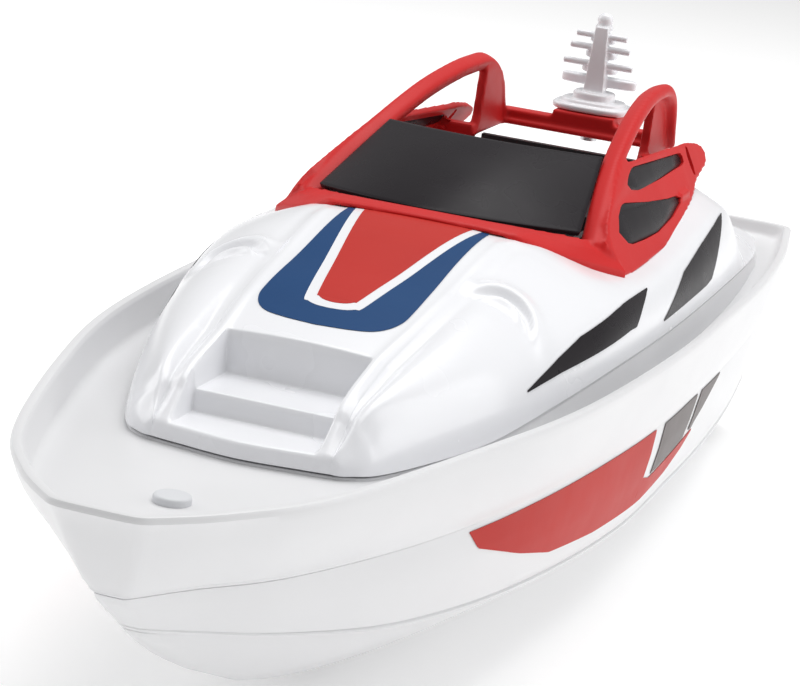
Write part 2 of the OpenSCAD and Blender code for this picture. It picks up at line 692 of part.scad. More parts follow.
// The power switch stands in the deck under the cabin.
switch_l = 16;
switch_w = 8;
switch_y = 48;
slot_l = 8.6;
knob_l = 4.4;
knob_w = 2.6;
switch_travel = slot_l - knob_l - 0.4;
module switch_body() color("black") translate([0, switch_y, 0]) difference() {
    union() {
        translate([-switch_l / 2 - 2, -switch_w / 2 - 2, deck_z])
            cube([switch_l + 4, switch_w + 4, 1.2]);
        translate([-switch_l / 2, -switch_w / 2, deck_z - 8])
            cube([switch_l, switch_w, 8.6]);
    }
    translate([-slot_l / 2, -knob_w / 2 - 0.2, deck_z - 4])
        cube([slot_l, knob_w + 0.4, 10]);
}
module switch_slider() color("red")
    translate([-slot_l / 2 + 0.2, switch_y - knob_w / 2, deck_z - 3.8])
        cube([knob_l, knob_w, 7.6]);

board_y = -72;
board_l = 34;
board_w = 36;
board_z = 36;
post_r = 2.8;
board_posts = [for (s = [-1, 1]) for (t = [-1, 1]) [s * (board_w / 2 - 3), board_y + t * (board_l / 2 - 3)]];
module receiver_board() color("green") translate([0, board_y, board_z]) {
    difference() {
        translate([-board_w / 2, -board_l / 2, 0])
            cube([board_w, board_l, 1.6]);
        for (p = board_posts)
            translate([p[0], p[1] - board_y, -1])
                cylinder(r = screw_r + 0.3, h = 5);
    }
    translate([-7, -7, 1.5])
        cube([9, 12, 2]);
    translate([6, -8, 1.5])
        cube([5, 5, 4]);
    translate([7, 6, 1.5])
        cylinder(r = 3, h = 6);
    translate([-12, 3, 1.5])
        cylinder(r = 2, h = 5);
}
module receiver_screws() color("silver")
    for (p = board_posts)
        translate([p[0], p[1], board_z + 1.6])
            cross_screw(6);

// Leads run under the battery bay, through points set by hand.
lead_r = 0.8;
power_routes = [
    [[6, 21.1, 40], [6, 27, 39], [5, 36, 40], [4, 43.6, 42.6]],
    [[-4, 48, 41.3], [-4, 46.5, 35], [-4, 38, 29], [-4, 0, 28], [-4, -38, 30], [-4, -47, 37], [-4, -56, 38.6]],
    [[8, -37.1, 40], [8, -42, 41], [6, -50, 40.5], [3, -57, 39.2]]];
motor_tail = motor_face - motor_l - 0.9;
motor_lug = [line_x + 3, prop_y + motor_tail * cos(line_fall) + 3 * sin(line_fall),
    prop_z - motor_tail * sin(line_fall) + 3 * cos(line_fall)];
motor_route = [motor_lug, motor_lug + [0, -6, 0.8], [23, 20 * ky, 27.5], [21, -25, 28], [16, -42, 34],
    [13, -51, 38.8], [12, -57, 39]];
antenna_route = [[-8.8, -57.5, 38.4], [-9.8, -56, 41], [-14, -51.5, 42.2], [-23, -46.5, 42.2],
    [-31, -41.5, 42], [-34.6, -32, 41.5], [-35, -12, 41], [-35.5, 20, 41], [-35, 60, 41]];
module battery_leads() color("crimson")
    for (r = power_routes)
        wire(r, lead_r);
module motor_leads() color("orange")
    both_sides()
        for (dx = [0, -6])
            wire([for (q = motor_route) q + [dx, 0, 0]], lead_r);
module antenna_wire() color("gray") wire(antenna_route, 0.6);

module motor() color("silver") difference() {
    union() {
        intersection() {
            rod(motor_w / 2, motor_face - motor_l, motor_face);
            translate([-motor_w / 2, motor_face - motor_l, -motor_h / 2])
                cube([motor_w, motor_l, motor_h]);
        }
        rod(3, motor_face - 1, motor_face + 1.5);
        for (s = [-1, 1])
            translate([3 * s - 1, motor_face - motor_l - 0.6, 2])
                cube([2, 1, 2.4]);
    }
    rod(shaft_r + run_fit, motor_face - 8, motor_face + 5);
}
module motor_port() on_line(1) motor();
module motor_starboard() on_line(-1) motor();
strap_t = 1.5;
module motor_clamps() color("dimgray") both_sides() on_line(1) {
    y = motor_face - motor_l / 2 - 3.5;
    side = motor_w / 2 + 0.3;
    translate([-side - strap_t, y, motor_h / 2 + 0.15])
        cube([2 * side + 2 * strap_t, 7, strap_t]);
    for (s = [-1, 1]) {
        translate([s * (side + strap_t / 2) - strap_t / 2, y, 0.1])
            cube([strap_t, 7, motor_h / 2 + 0.15 + strap_t - 0.1]);
        difference() {
            translate([s > 0 ? side : -clamp_x - 2.5, y, 0.1])
                cube([clamp_x + 2.5 - side, 7, strap_t]);
            translate([s * clamp_x, y + 3.5, -1])
                cylinder(r = clamp_screw_r + 0.2, h = 5);
        }
    }
}
module motor_clamp_screws() color("silver")
    both_sides()
        on_line(1)
            for (dx = [-clamp_x, clamp_x])
                translate([dx, motor_face - motor_l / 2, 0]) {
                    translate([0, 0, 0.1 + strap_t])
                        cylinder(r = 1.7, h = 1);
                    translate([0, 0, -5])
                        cylinder(r = clamp_screw_r, h = 5 + 0.2 + strap_t);
                }

module rotor() color("gray") rod(shaft_r, motor_face - 7, coupling_y - 1);
module rotor_port() on_line(1) rotor();
module rotor_starboard() on_line(-1) rotor();
module coupling() color("black") difference() {
    rod(2.8, coupling_y - coupling_l / 2, coupling_y + coupling_l / 2);
    rod(shaft_r + 0.02, coupling_y - coupling_l, coupling_y + coupling_l);
}
module coupling_port() on_line(1) coupling();
module coupling_starboard() on_line(-1) coupling();
module shaft() color("silver") rod(shaft_r, coupling_y + 1, 6);
module shaft_port() on_line(1) shaft();
module shaft_starboard() on_line(-1) shaft();
bush_l = 4;
tube_bore = 1.7;
module stern_tubes() color([0.8, 0.65, 0.3]) both_sides() on_line(1) difference() {
    rod(tube_r - 0.02, tube_front, tube_back);
    rod(tube_bore, tube_front - 1, tube_back + 1);
}
module shaft_bushes() color("ivory") both_sides() on_line(1)
    for (y = [tube_front, tube_back - bush_l])
        difference() {
            rod(tube_bore - 0.02, y, y + bush_l);
            rod(shaft_r + run_fit, y - 1, y + bush_l + 1);
        }
hub_r = 2.2;
hub_l = 6;
module propeller() color("dimgray") {
    difference() {
        rod(hub_r, -hub_l / 2, hub_l / 2);
        rod(shaft_r + 0.02, -hub_l, hub_l);
    }
    intersection() {
        for (k = [0:blades - 1])
            rotate([0, 360 * k / blades, 0])
                rotate([0, 0, 35])
                    translate([-2.6, -0.4, hub_r - 0.4])
                        cube([5.2, 0.8, prop_r]);
        rod(prop_r, -4, 4);
    }
}
module propeller_port() on_line(1) propeller();
module propeller_starboard() on_line(-1) mirror([1, 0, 0]) propeller();
module water_sensor_pins() color("silver")
    both_sides()
        translate([sensor_x, sensor_y, 2.6])
            cylinder(r = sensor_r, h = 9);

hull_bottom();
deck_moulding();
foredeck_plug();
hull_screws();
red_hull_stickers();
grey_hull_stickers();
cabin_shell();
blue_bonnet_sticker();
red_bonnet_sticker();
front_cabin_windows();
rear_cabin_windows();
canopy_frame();
windscreen();
upper_side_windows();
lower_side_windows();
cockpit_tub();
canopy_screws();
mast();
mast_screw();
mast_washer();
battery_box();
battery_seal();
battery_lid();
battery_lid_screws();
cells();
battery_contacts();
battery_leads();
switch_body();
switch_slider();
receiver_board();
receiver_screws();
antenna_wire();
motor_port();
motor_starboard();
motor_clamps();
motor_clamp_screws();
motor_leads();
rotor_port();
rotor_starboard();
coupling_port();
coupling_starboard();
shaft_port();
shaft_starboard();
stern_tubes();
shaft_bushes();
propeller_port();
propeller_starboard();
water_sensor_pins();
deck_seal();
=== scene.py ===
# %% [markdown]
# # A toy motor cruiser
# This is a boat for radio control: a white hull of two mouldings, a white cabin that lifts off,
# a red canopy with smoked windows and roll bars, and a small mast that turns.
# The lesson starts from the engineering model, which gives every piece its place. Shapes that
# are only faceted there are made again as smooth surfaces, worked out with numpy.
# %% Load the engineering model
import json
import math
import bmesh
import bpy
import numpy as np
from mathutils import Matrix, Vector


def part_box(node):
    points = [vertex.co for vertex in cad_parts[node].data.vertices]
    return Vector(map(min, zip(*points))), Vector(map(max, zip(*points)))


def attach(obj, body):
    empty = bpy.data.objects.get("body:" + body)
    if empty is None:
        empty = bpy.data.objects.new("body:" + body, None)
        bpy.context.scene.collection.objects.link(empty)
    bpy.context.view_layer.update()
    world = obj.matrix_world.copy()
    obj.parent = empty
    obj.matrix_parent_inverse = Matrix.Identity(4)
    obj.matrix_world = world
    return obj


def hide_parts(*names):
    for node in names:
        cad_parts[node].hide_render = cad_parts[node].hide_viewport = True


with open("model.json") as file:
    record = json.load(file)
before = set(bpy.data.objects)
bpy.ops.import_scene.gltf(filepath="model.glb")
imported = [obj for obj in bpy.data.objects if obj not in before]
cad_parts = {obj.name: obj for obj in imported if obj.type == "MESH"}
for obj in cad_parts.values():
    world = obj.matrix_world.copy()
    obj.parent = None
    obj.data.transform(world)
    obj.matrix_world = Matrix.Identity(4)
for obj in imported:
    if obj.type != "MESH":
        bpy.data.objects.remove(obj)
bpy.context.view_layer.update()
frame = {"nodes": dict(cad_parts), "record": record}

nodes = frame["nodes"]
MM = 0.001

# %% [markdown]
# ## Camera, floor and light
# A toy is shown in a white studio: a pale floor that runs out of view, one broad lamp above
# and soft lamps beside it. A long lens keeps the hull's lines nearly parallel.
# The camera comes first, so that every later piece can be judged through it.
# %% Camera
camera_data = bpy.data.cameras.new("studio_camera")
LONG_LENS = 126
CAMERA_PLACE = (0.14712, -0.52729, 0.18140)
CAMERA_TURN = (1.327238, -0.127409, 0.317091)
camera_data.lens = LONG_LENS
camera_data.sensor_width = 36
camera_data.clip_start = 0.01
camera = bpy.data.objects.new("studio_camera", camera_data)
camera.location = CAMERA_PLACE
camera.rotation_euler = CAMERA_TURN
bpy.context.scene.collection.objects.link(camera)
bpy.context.scene.camera = camera
print("lens", camera_data.lens, "mm")


# %% Studio lamps and sky
def lamp(name, place, aim, size, power):
    """A square area lamp at place that faces aim, in metres."""
    data = bpy.data.lights.new(name, "AREA")
    data.size = size
    data.energy = power
    item = bpy.data.objects.new(name, data)
    item.location = place
    item.rotation_euler = (Vector(aim) - Vector(place)).to_track_quat("-Z", "Y").to_euler()
    bpy.context.scene.collection.objects.link(item)


lamp("top_lamp", (0.1, 0.25, 1.1), (0, 0, 0.05), 1.0, 10)
lamp("port_lamp", (1.0, 0.35, 0.4), (0.05, 0, 0.05), 0.7, 3.2)
lamp("starboard_lamp", (-1.0, 0.1, 0.6), (0, 0, 0.05), 0.7, 3.2)
SKY_LIGHT = 0.42
sky = bpy.data.worlds.new("studio_sky")
sky.use_nodes = True
sky_node = sky.node_tree.nodes["Background"]
sky_node.inputs["Color"].default_value = (1, 1, 1, 1)
sky_node.inputs["Strength"].default_value = SKY_LIGHT
bpy.context.scene.world = sky
bpy.context.scene.view_settings.view_transform = "Standard"

# %% [markdown]
# ## Finishes
# Moulded plastic is never one flat colour. Its tint drifts a little, its gloss changes where
# hands have touched it, and the mould leaves a fine grain. Painted images could show this, but
# noise has no seams and holds up close by. One recipe makes all of it from noise on Object
# coordinates, which stay with a piece when it moves. Each finish then only gives its own
# colours, gloss and grain.
# %% One recipe for moulded and printed surfaces
finishes = {}


def finish_of(name, light, dark, gloss, drift=40, grain=900, depth=0.02, coat=0.0, metal=0.0,
              specular=0.5, stretch=(1, 1, 1)):
    """A material whose colour goes from dark to light with a slow noise, whose roughness goes
    between the two gloss values with a second noise, and whose bump is a third, fine noise."""
    material = bpy.data.materials.new(name)
    material.use_nodes = True
    tree = material.node_tree
    shader = tree.nodes["Principled BSDF"]
    place = tree.nodes.new("ShaderNodeTexCoord")
    mapping = tree.nodes.new("ShaderNodeMapping")
    mapping.inputs["Scale"].default_value = stretch
    tree.links.new(place.outputs["Object"], mapping.inputs["Vector"])

    def noise(scale, detail):
        n = tree.nodes.new("ShaderNodeTexNoise")
        n.inputs["Scale"].default_value = scale
        n.inputs["Detail"].default_value = detail
        tree.links.new(mapping.outputs["Vector"], n.inputs["Vector"])
        return n.outputs["Fac"]

    tint = tree.nodes.new("ShaderNodeValToRGB")
    tint.color_ramp.elements[0].position = 0.1
    tint.color_ramp.elements[1].position = 0.9
    tint.color_ramp.elements[0].color = (*dark, 1)
    tint.color_ramp.elements[1].color = (*light, 1)
    tree.links.new(noise(drift, 3), tint.inputs["Fac"])
    tree.links.new(tint.outputs["Color"], shader.inputs["Base Color"])
    polish = tree.nodes.new("ShaderNodeMapRange")
    polish.inputs["From Min"].default_value = 0.15
    polish.inputs["From Max"].default_value = 0.85
    polish.inputs["To Min"].default_value = gloss[0]
    polish.inputs["To Max"].default_value = gloss[1]
    tree.links.new(noise(drift * 2.5, 2), polish.inputs["Value"])
    tree.links.new(polish.outputs["Result"], shader.inputs["Roughness"])
    bump = tree.nodes.new("ShaderNodeBump")
    bump.inputs["Strength"].default_value = depth
    bump.inputs["Distance"].default_value = 0.0004
    tree.links.new(noise(grain, 2), bump.inputs["Height"])
    tree.links.new(bump.outputs["Normal"], shader.inputs["Normal"])
    shader.inputs["Metallic"].default_value = metal
    shader.inputs["Coat Weight"].default_value = coat
    shader.inputs["Coat Roughness"].default_value = 0.12
    shader.inputs["Specular IOR Level"].default_value = specular
    finishes[name] = material


# %% The boat's own finishes
finish_of("hull_white", (0.76, 0.76, 0.77), (0.72, 0.72, 0.73), (0.30, 0.42), drift=25, grain=1500)
finish_of("cabin_white", (0.88, 0.885, 0.91), (0.85, 0.855, 0.88), (0.20, 0.30), drift=30, coat=0.2)
finish_of("plug_grey", (0.68, 0.69, 0.71), (0.64, 0.65, 0.67), (0.40, 0.55), depth=0.06)
finish_of("steel", (0.64, 0.64, 0.65), (0.48, 0.48, 0.50), (0.25, 0.42), metal=1.0)
finish_of("sticker_red", (0.52, 0.03, 0.022), (0.46, 0.024, 0.018), (0.40, 0.5), depth=0.015,
          specular=0.12)
finish_of("sticker_grey", (0.15, 0.13, 0.125), (0.12, 0.10, 0.098), (0.35, 0.45), depth=0.015,
          specular=0.12)
finish_of("sticker_blue", (0.012, 0.062, 0.18), (0.008, 0.05, 0.155), (0.40, 0.5), depth=0.015,
          specular=0.1)
finish_of("window_black", (0.018, 0.015, 0.018), (0.011, 0.009, 0.011), (0.22, 0.34), depth=0.01,
          specular=0.08)
finish_of("canopy_red", (0.60, 0.016, 0.016), (0.53, 0.012, 0.012), (0.40, 0.5), depth=0.04,
          specular=0.2)
finish_of("black_plastic", (0.035, 0.035, 0.037), (0.022, 0.022, 0.024), (0.45, 0.62), depth=0.2)
finish_of("rubber_black", (0.03, 0.03, 0.03), (0.018, 0.018, 0.018), (0.65, 0.82), depth=0.15)
finish_of("cell_wrap", (0.05, 0.16, 0.38), (0.04, 0.13, 0.32), (0.2, 0.32), coat=0.3)
finish_of("contact_metal", (0.72, 0.69, 0.62), (0.55, 0.52, 0.46), (0.2, 0.38), metal=1.0)
finish_of("lead_red", (0.50, 0.02, 0.015), (0.42, 0.015, 0.01), (0.4, 0.5))
finish_of("lead_yellow", (0.62, 0.42, 0.03), (0.55, 0.36, 0.02), (0.4, 0.5))
finish_of("lead_grey", (0.28, 0.28, 0.29), (0.22, 0.22, 0.23), (0.4, 0.5))
finish_of("switch_red", (0.60, 0.03, 0.02), (0.52, 0.02, 0.015), (0.3, 0.4))
finish_of("board_green", (0.02, 0.17, 0.06), (0.012, 0.12, 0.045), (0.25, 0.4), grain=400, depth=0.1)
finish_of("motor_can", (0.60, 0.60, 0.60), (0.46, 0.46, 0.47), (0.22, 0.38), metal=1.0,
          stretch=(1, 1, 6))
finish_of("brass", (0.66, 0.47, 0.17), (0.52, 0.36, 0.12), (0.2, 0.35), metal=1.0)
finish_of("bush_white", (0.78, 0.78, 0.74), (0.72, 0.72, 0.68), (0.4, 0.5))
finish_of("propeller_grey", (0.12, 0.12, 0.13), (0.08, 0.08, 0.09), (0.35, 0.5), depth=0.08)
finish_of("floor_white", (0.90, 0.90, 0.90), (0.89, 0.89, 0.89), (0.7, 0.8), drift=2)
FLOOR_GLOW = 0.22
glow = finishes["floor_white"].node_tree.nodes["Principled BSDF"]
glow.inputs["Emission Color"].default_value = (1, 1, 1, 1)
glow.inputs["Emission Strength"].default_value = FLOOR_GLOW
for part in frame["record"]["subparts"]:
    nodes[part["node"]].data.materials.clear()
    nodes[part["node"]].data.materials.append(finishes[part["material_slot"]])
print(len(finishes), "finishes")

# %% [markdown]
# ## The tools of the lesson
# Almost every piece is a grid of points: rows along the boat and columns across it. A few
# helpers are enough. They draw a smooth curve through a few hand-set points, number the grid's
# faces, turn points and faces into a finished Blender piece, and cut or join solids. Pulling a
# cage by hand would also work, but formulas can be measured, mirrored and changed by a number.
# %% A smooth curve through points
def through(points, per_gap):
    """Catmull-Rom: in each gap the place is half of 2b + (c-a)t + (2a-5b+4c-d)tt +
    (3b-a-3c+d)ttt, where b and c are the gap's ends and a and d their neighbours."""
    p = np.asarray(points, float)
    i = np.arange(len(p) - 1)
    picks = (np.maximum(i - 1, 0), i, i + 1, np.minimum(i + 2, len(p) - 1))
    a, b, c, d = (p[k][:, None, :] for k in picks)
    t = (np.arange(per_gap) / per_gap)[None, :, None]
    inner = 0.5 * (2 * b + (c - a) * t + (2 * a - 5 * b + 4 * c - d) * t**2
                   + (3 * b - a - 3 * c + d) * t**3)
    return np.vstack([inner.reshape(-1, p.shape[1]), p[-1:]])


def along(points, count):
    """Points at equal steps of length along a polyline: each coordinate is read off against
    the running sum of the gaps' lengths."""
    p = np.asarray(points, float)
    run = np.r_[0, np.cumsum(np.linalg.norm(np.diff(p, axis=0), axis=1))]
    at = np.linspace(0, run[-1], count)
    return np.stack([np.interp(at, run, p[:, k]) for k in range(p.shape[1])], axis=1)


def smooth_step(x, low, high):
    """0 below low, 1 above high and 3tt - 2ttt between them."""
    t = np.clip((x - low) / (high - low), 0, 1)
    return t * t * (3 - 2 * t)


# %% Faces of a grid
def squares(rows, columns, wrap=False, first=0):
    """The corners of every square in a grid that is numbered row by row. With wrap, the last
    column joins the first."""
    i = np.arange(rows * columns).reshape(rows, columns) + first
    if wrap:
        i = np.hstack([i, i[:, :1]])
    return np.stack([i[:-1, :-1], i[:-1, 1:], i[1:, 1:], i[1:, :-1]], -1).reshape(-1, 4).tolist()


def tube_solid(sections):
    """Points and faces of a closed solid through sections, each a ring of points."""
    s = np.asarray(sections, float)
    rows, columns = s.shape[:2]
    ends = [list(range(columns)), [(rows - 1) * columns + k for k in range(columns)]]
    return s.reshape(-1, 3), squares(rows, columns, True) + ends


def gather(*solids):
    """Several solids as one list of points and one list of faces."""
    points, faces, count = [], [], 0
    for p, f in solids:
        points.append(p)
        faces += [[i + count for i in face] for face in f]
        count += len(p)
    return np.vstack(points), faces


def mirrored(solid):
    """The solid and its mirror image on the other side of the boat."""
    p, f = solid
    return gather(solid, (p * [-1, 1, 1], [face[::-1] for face in f]))


# %% A finished piece from points and faces
def bare(name, solid, finish):
    """Makes the mesh, welds its doubles, points its faces outwards, and gives it a finish."""
    points, faces = solid
    mesh = bpy.data.meshes.new(name)
    mesh.from_pydata((np.asarray(points, float).reshape(-1, 3) * MM).tolist(), [], faces)
    work = bmesh.new()
    work.from_mesh(mesh)
    bmesh.ops.remove_doubles(work, verts=work.verts, dist=2e-6)
    bmesh.ops.dissolve_degenerate(work, edges=work.edges, dist=1e-6)
    bmesh.ops.recalc_face_normals(work, faces=work.faces)
    work.to_mesh(mesh)
    work.free()
    item = bpy.data.objects.new(name, mesh)
    bpy.context.scene.collection.objects.link(item)
    item.data.materials.append(finishes[finish])
    return item


def piece(name, solid, body, slot, replaced=(), crease=32):
    """A bare mesh made part of the boat: softened, put on its body, and given its slot and the
    nodes that it stands in for."""
    item = bare(name, solid, slot)
    soften(item, crease)
    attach(item, body)
    if replaced:
        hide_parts(*replaced)
    return item


def soften(item, crease):
    """Shades the faces smooth, apart from edges sharper than crease degrees."""
    item.data.shade_smooth()
    item.data.set_sharp_from_angle(angle=math.radians(crease))


def settle(item, crease=32):
    """Works the modifiers out and keeps their result as the piece's own mesh."""
    graph = bpy.context.evaluated_depsgraph_get()
    mesh = bpy.data.meshes.new_from_object(item.evaluated_get(graph))
    item.modifiers.clear()
    item.data = mesh
    soften(item, crease)


def carve(item, solid, how="DIFFERENCE", crease=32):
    """Cuts a solid out of a piece, or joins it on."""
    cutter = bare("cutter", solid, "steel")
    step = item.modifiers.new("carve", "BOOLEAN")
    step.operation = how
    step.solver = "EXACT"
    step.object = cutter
    settle(item, crease)
    bpy.data.objects.remove(cutter)


def box_solid(low, high):
    """A box between two corners, as four-point rings at its two ends."""
    (x0, y0, z0), (x1, y1, z1) = low, high
    ring = np.array([[x0, 0, z0], [x1, 0, z0], [x1, 0, z1], [x0, 0, z1]], float)
    return tube_solid([ring + [0, y, 0] for y in (y0, y1)])


# %% The floor
FLOOR_REACH, FLOOR_HEIGHT = 3000, -0.3
reach = np.linspace(-FLOOR_REACH, FLOOR_REACH, 5)
floor_points = np.stack([*np.meshgrid(reach, reach), np.full((5, 5), FLOOR_HEIGHT)], -1)
floor = bare("studio_floor", (floor_points, squares(5, 5)), "floor_white")
soften(floor, 32)
print("floor at", round(floor_points[..., 2].min(), 2), "mm")

# %% [markdown]
# ## The hull's lines
# A boat is drawn with lines that run from bow to stern: the rim at the top, the knuckle where
# the two mouldings meet, the chine where the side turns under, and the keel. Each is given here
# by ten points on the port side, as in the engineering model, and mirrored to starboard. Few
# points with a smooth curve through them give fairer lines than many set by eye.
# %% Hull lines
PER_GAP = 12
rim_points = [[7, -170, 56.5], [17, -159, 56.5], [27.5, -140, 56.5], [39, -100, 57],
              [47, -60, 57], [51, -5, 56.5], [51, 45, 55.5], [50.2, 85, 54.8],
              [47, 128, 54], [41, 170, 53]]
knuckle_points = [[3, -161.5, 40.5], [9.5, -150, 40.3], [20, -133, 40], [32.5, -100, 40],
                  [41, -60, 40], [46.8, -5, 39.5], [47.4, 45, 38.6], [46.5, 85, 37.8],
                  [43.7, 127, 36.6], [38.5, 169, 35]]
chine_points = [[1.4, -150, 32], [6.5, -142, 30.3], [16.5, -125, 27], [28, -100, 23.8],
                [37, -60, 20.8], [42, -5, 17.5], [42, 45, 15.8], [41.2, 85, 14.6],
                [39, 126, 13.8], [35, 168, 13]]
keel_points = [[0.9, -147, 30], [1.6, -139, 25.8], [3, -122, 16.7], [4, -104, 9.6], [5, -70, 2],
               [5, -20, 0], [5, 40, 0], [5, 80, 0], [5, 123, 0], [5, 167, 0]]
skirt_points = [[9, -111.8, 50.4], [18.5, -109.5, 50.4], [24, -102.5, 50.4], [31.9, -80, 51],
                [36.6, -60, 53], [42, -25, 56], [44, 20, 56.2], [43.5, 75, 55.5],
                [40, 125, 52.5], [35, 152, 51]]


def half_ring(points, nose=0.0, rounding=3):
    """The port half of a level ring round the boat, from the bow's middle to the stern's. The
    nose and the transom are straight, and their corners are rounded by repeated averaging."""
    line = through(points, PER_GAP)
    line[:, 2] = np.maximum(line[:, 2], 0)
    bow = line[:1] * [[0, 1, 1], [0.35, 1, 1], [0.7, 1, 1]]
    bow[:, 1] -= nose * (1 - np.array([0, 0.35, 0.7]) ** 2)
    stern = line[-1:] * [[0.9, 1, 1], [0.7, 1, 1], [0.35, 1, 1], [0, 1, 1]]
    ring = np.vstack([bow, line, stern])
    # A weight of 0 holds a point still, and 1 lets it move to its neighbours' middle.
    mask = np.zeros(len(ring))
    mask[1:8] = (0.4, 1, 1, 1, 0.8, 0.4, 0.2)
    mask[-7:-2] = (0.3, 0.8, 1, 0.8, 0.3)
    for _ in range(rounding):
        ring[1:-1] += 0.5 * mask[1:-1, None] * ((ring[:-2] + ring[2:]) / 2 - ring[1:-1])
    return ring


rim, knuckle, chine, keel = (half_ring(p) for p in (rim_points, knuckle_points, chine_points,
                                                   keel_points))
skirt = half_ring(skirt_points, nose=1.2)
print("points in half a ring:", len(rim))


# %% Rings moved inwards, and solids through rings
def inset(ring, inwards, up=0.0):
    """The ring moved inwards, square to its own direction seen from above, and up. The inward
    direction is the heading turned a quarter: minus its y, then its x. The heading is averaged
    along the ring first, so that points do not cross behind a tight corner."""
    heading = np.gradient(ring[:, :2], axis=0)
    heading /= np.linalg.norm(heading, axis=1)[:, None] + 1e-9
    for _ in range(8):
        heading[1:-1] = (heading[:-2] + 2 * heading[1:-1] + heading[2:]) / 4
    heading[[0, -1]] = [[1, 0], [-1, 0]]
    heading /= np.linalg.norm(heading, axis=1)[:, None]
    moved = ring.copy()
    moved[:, 0] = np.maximum(ring[:, 0] - heading[:, 1] * inwards, 0.05)
    moved[:, 1] += heading[:, 0] * inwards
    moved[:, 2] += up
    moved[[0, -1], 0] = 0
    return moved


def level(ring, height):
    """The ring pressed flat at one height."""
    return np.column_stack([ring[:, :2], np.full(len(ring), height)])


def mix(a, b, share):
    """A ring part of the way from a to b."""
    return a + (b - a) * share


def ring_solid(half_rings):
    """A closed solid through rings that are each given by their port half. Its two ends are
    closed by strips from side to side."""
    h = np.asarray(half_rings, float)
    full = np.concatenate([h, h[:, -2:0:-1] * [-1, 1, 1]], axis=1)
    rows, columns = full.shape[:2]
    i = np.arange(1, h.shape[1] - 2)
    faces = squares(rows, columns, True)
    for start in (0, (rows - 1) * columns):
        strips = np.stack([i, i + 1, columns - i - 1, columns - i], 1) + start
        last = h.shape[1] - 2
        faces += strips.tolist()
        faces += [[start, start + 1, start + columns - 1], [start + last, start + last + 1,
                                                            start + last + 2]]
    return full.reshape(-1, 3), faces


# %% [markdown]
# ## The deck moulding
# The upper moulding is the deck and the high bulwark round it in one. Its rim is about two
# millimetres thick and rounded, the inner face leans in, and a small fillet joins it to the deck.
# The profile is carried round the boat on the rim and knuckle rings, so the bulwark keeps its
# thickness where the bow narrows.
# %% Deck moulding
WALL = 1.8
DECK = 49.5
FOOT_NEAR, FOOT_FAR = 2.6, 3.6
foot = np.interp(rim[:, 1], [-170, -120, -60, 170], [FOOT_FAR, 3.1, FOOT_NEAR, FOOT_NEAR])


def rim_inset(extra, height):
    """The foot of the bulwark at one height, which leans in more towards the bow."""
    near, far = inset(rim, FOOT_NEAR + extra), inset(rim, FOOT_FAR + extra)
    return level(mix(near, far, (foot - FOOT_NEAR)[:, None]), height)


def topside(share):
    """The outer side at a share of the way from rim to knuckle. It swells outwards by four
    times share times (1 - share) times an amount that grows towards the bow."""
    swell = np.interp(rim[:, 1], [-168, -150, -110, -40, 170], [0.3, 2.2, 1.6, 0.5, 0.3])
    ring = mix(rim, knuckle, share)
    out = inset(ring, -1) - ring
    return ring + out * (4 * share * (1 - share) * swell)[:, None]


deck_rings = [
    level(inset(skirt, 5), DECK), inset(skirt, 4.2, -0.7), inset(skirt, 3.8, -0.5),
    inset(skirt, 0.6, -0.5), inset(skirt, 0.3, -0.8), level(inset(skirt, -0.4), DECK),
    *[mix(level(inset(skirt, -0.4), DECK), rim_inset(1.6, DECK), s) for s in (0.06, 0.5, 0.94)],
    rim_inset(1.6, DECK), rim_inset(0.9, DECK + 0.12),
    rim_inset(0.35, DECK + 0.45), rim_inset(0, DECK + 1.1), inset(rim, 2.2, -1.2),
    inset(rim, 2.05, -0.55), inset(rim, 1.75, -0.15), inset(rim, 1.3, 0),
    inset(rim, 0.7, 0), inset(rim, 0.3, -0.12), inset(rim, 0.06, -0.5), inset(rim, 0, -1.1),
    *[topside(s) for s in (0.15, 0.3, 0.45, 0.6, 0.75, 0.88)], inset(knuckle, 0, 0.7),
    inset(knuckle, 0.15, 0.25), inset(knuckle, 0.55, 0), inset(knuckle, WALL, 0.05),
    rim_inset(WALL + 1, DECK - 2)]
deck = piece("deck_moulding_smooth", ring_solid(deck_rings), "hull", "hull_white",
             ["deck_moulding"])
# Each opening is the node's own box, less the lips in x and y that rest on the deck.
BELOW_DECK, ABOVE_DECK = 30, 70
for node, lip_x, lip_y in (("battery_box", 2.2, 7.6), ("switch_body", 2, 2)):
    low, high = (np.array(v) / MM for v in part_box(node))
    carve(deck, box_solid((low[0] + lip_x, low[1] + lip_y, BELOW_DECK),
                          (high[0] - lip_x, high[1] - lip_y, ABOVE_DECK)))
print("deck moulding:", len(deck.data.polygons), "faces")

# %% [markdown]
# ## The hull bottom
# Below the knuckle the second moulding sits a little further in, which leaves the small shadow
# step along the side. Its side flares, the chine carries a low spray rail, and the forefoot is
# slightly full. Two wells with the propellers and two skegs are cut and joined with booleans.
# %% Side of the hull as a formula
LEDGE = inset(knuckle, 1.0, -0.9)
FLARE = np.interp(knuckle[:, 1], [-160, -140, -90, 0, 170], [0.4, 1.3, 1.2, 1.1, 0.6])


def hull_side(share):
    """The side at a share of the way from the ledge to the chine: straight, plus an outward
    swell of four times share times (1 - share) times the flare."""
    ring = mix(LEDGE, chine, share)
    ring[:, 0] += (ring[:, 0] > 0.01) * 4 * share * (1 - share) * FLARE
    return ring


def hull_under(share):
    """The bottom at a share of the way from the chine to the keel, a little fuller forward."""
    ring = mix(chine, keel, share)
    full = np.interp(ring[:, 1], [-150, -120, -60, 0], [0.6, 2.0, 1.2, 0.3])
    ring[:, 2] = np.maximum(ring[:, 2] - 4 * share * (1 - share) * full, 0)
    return ring


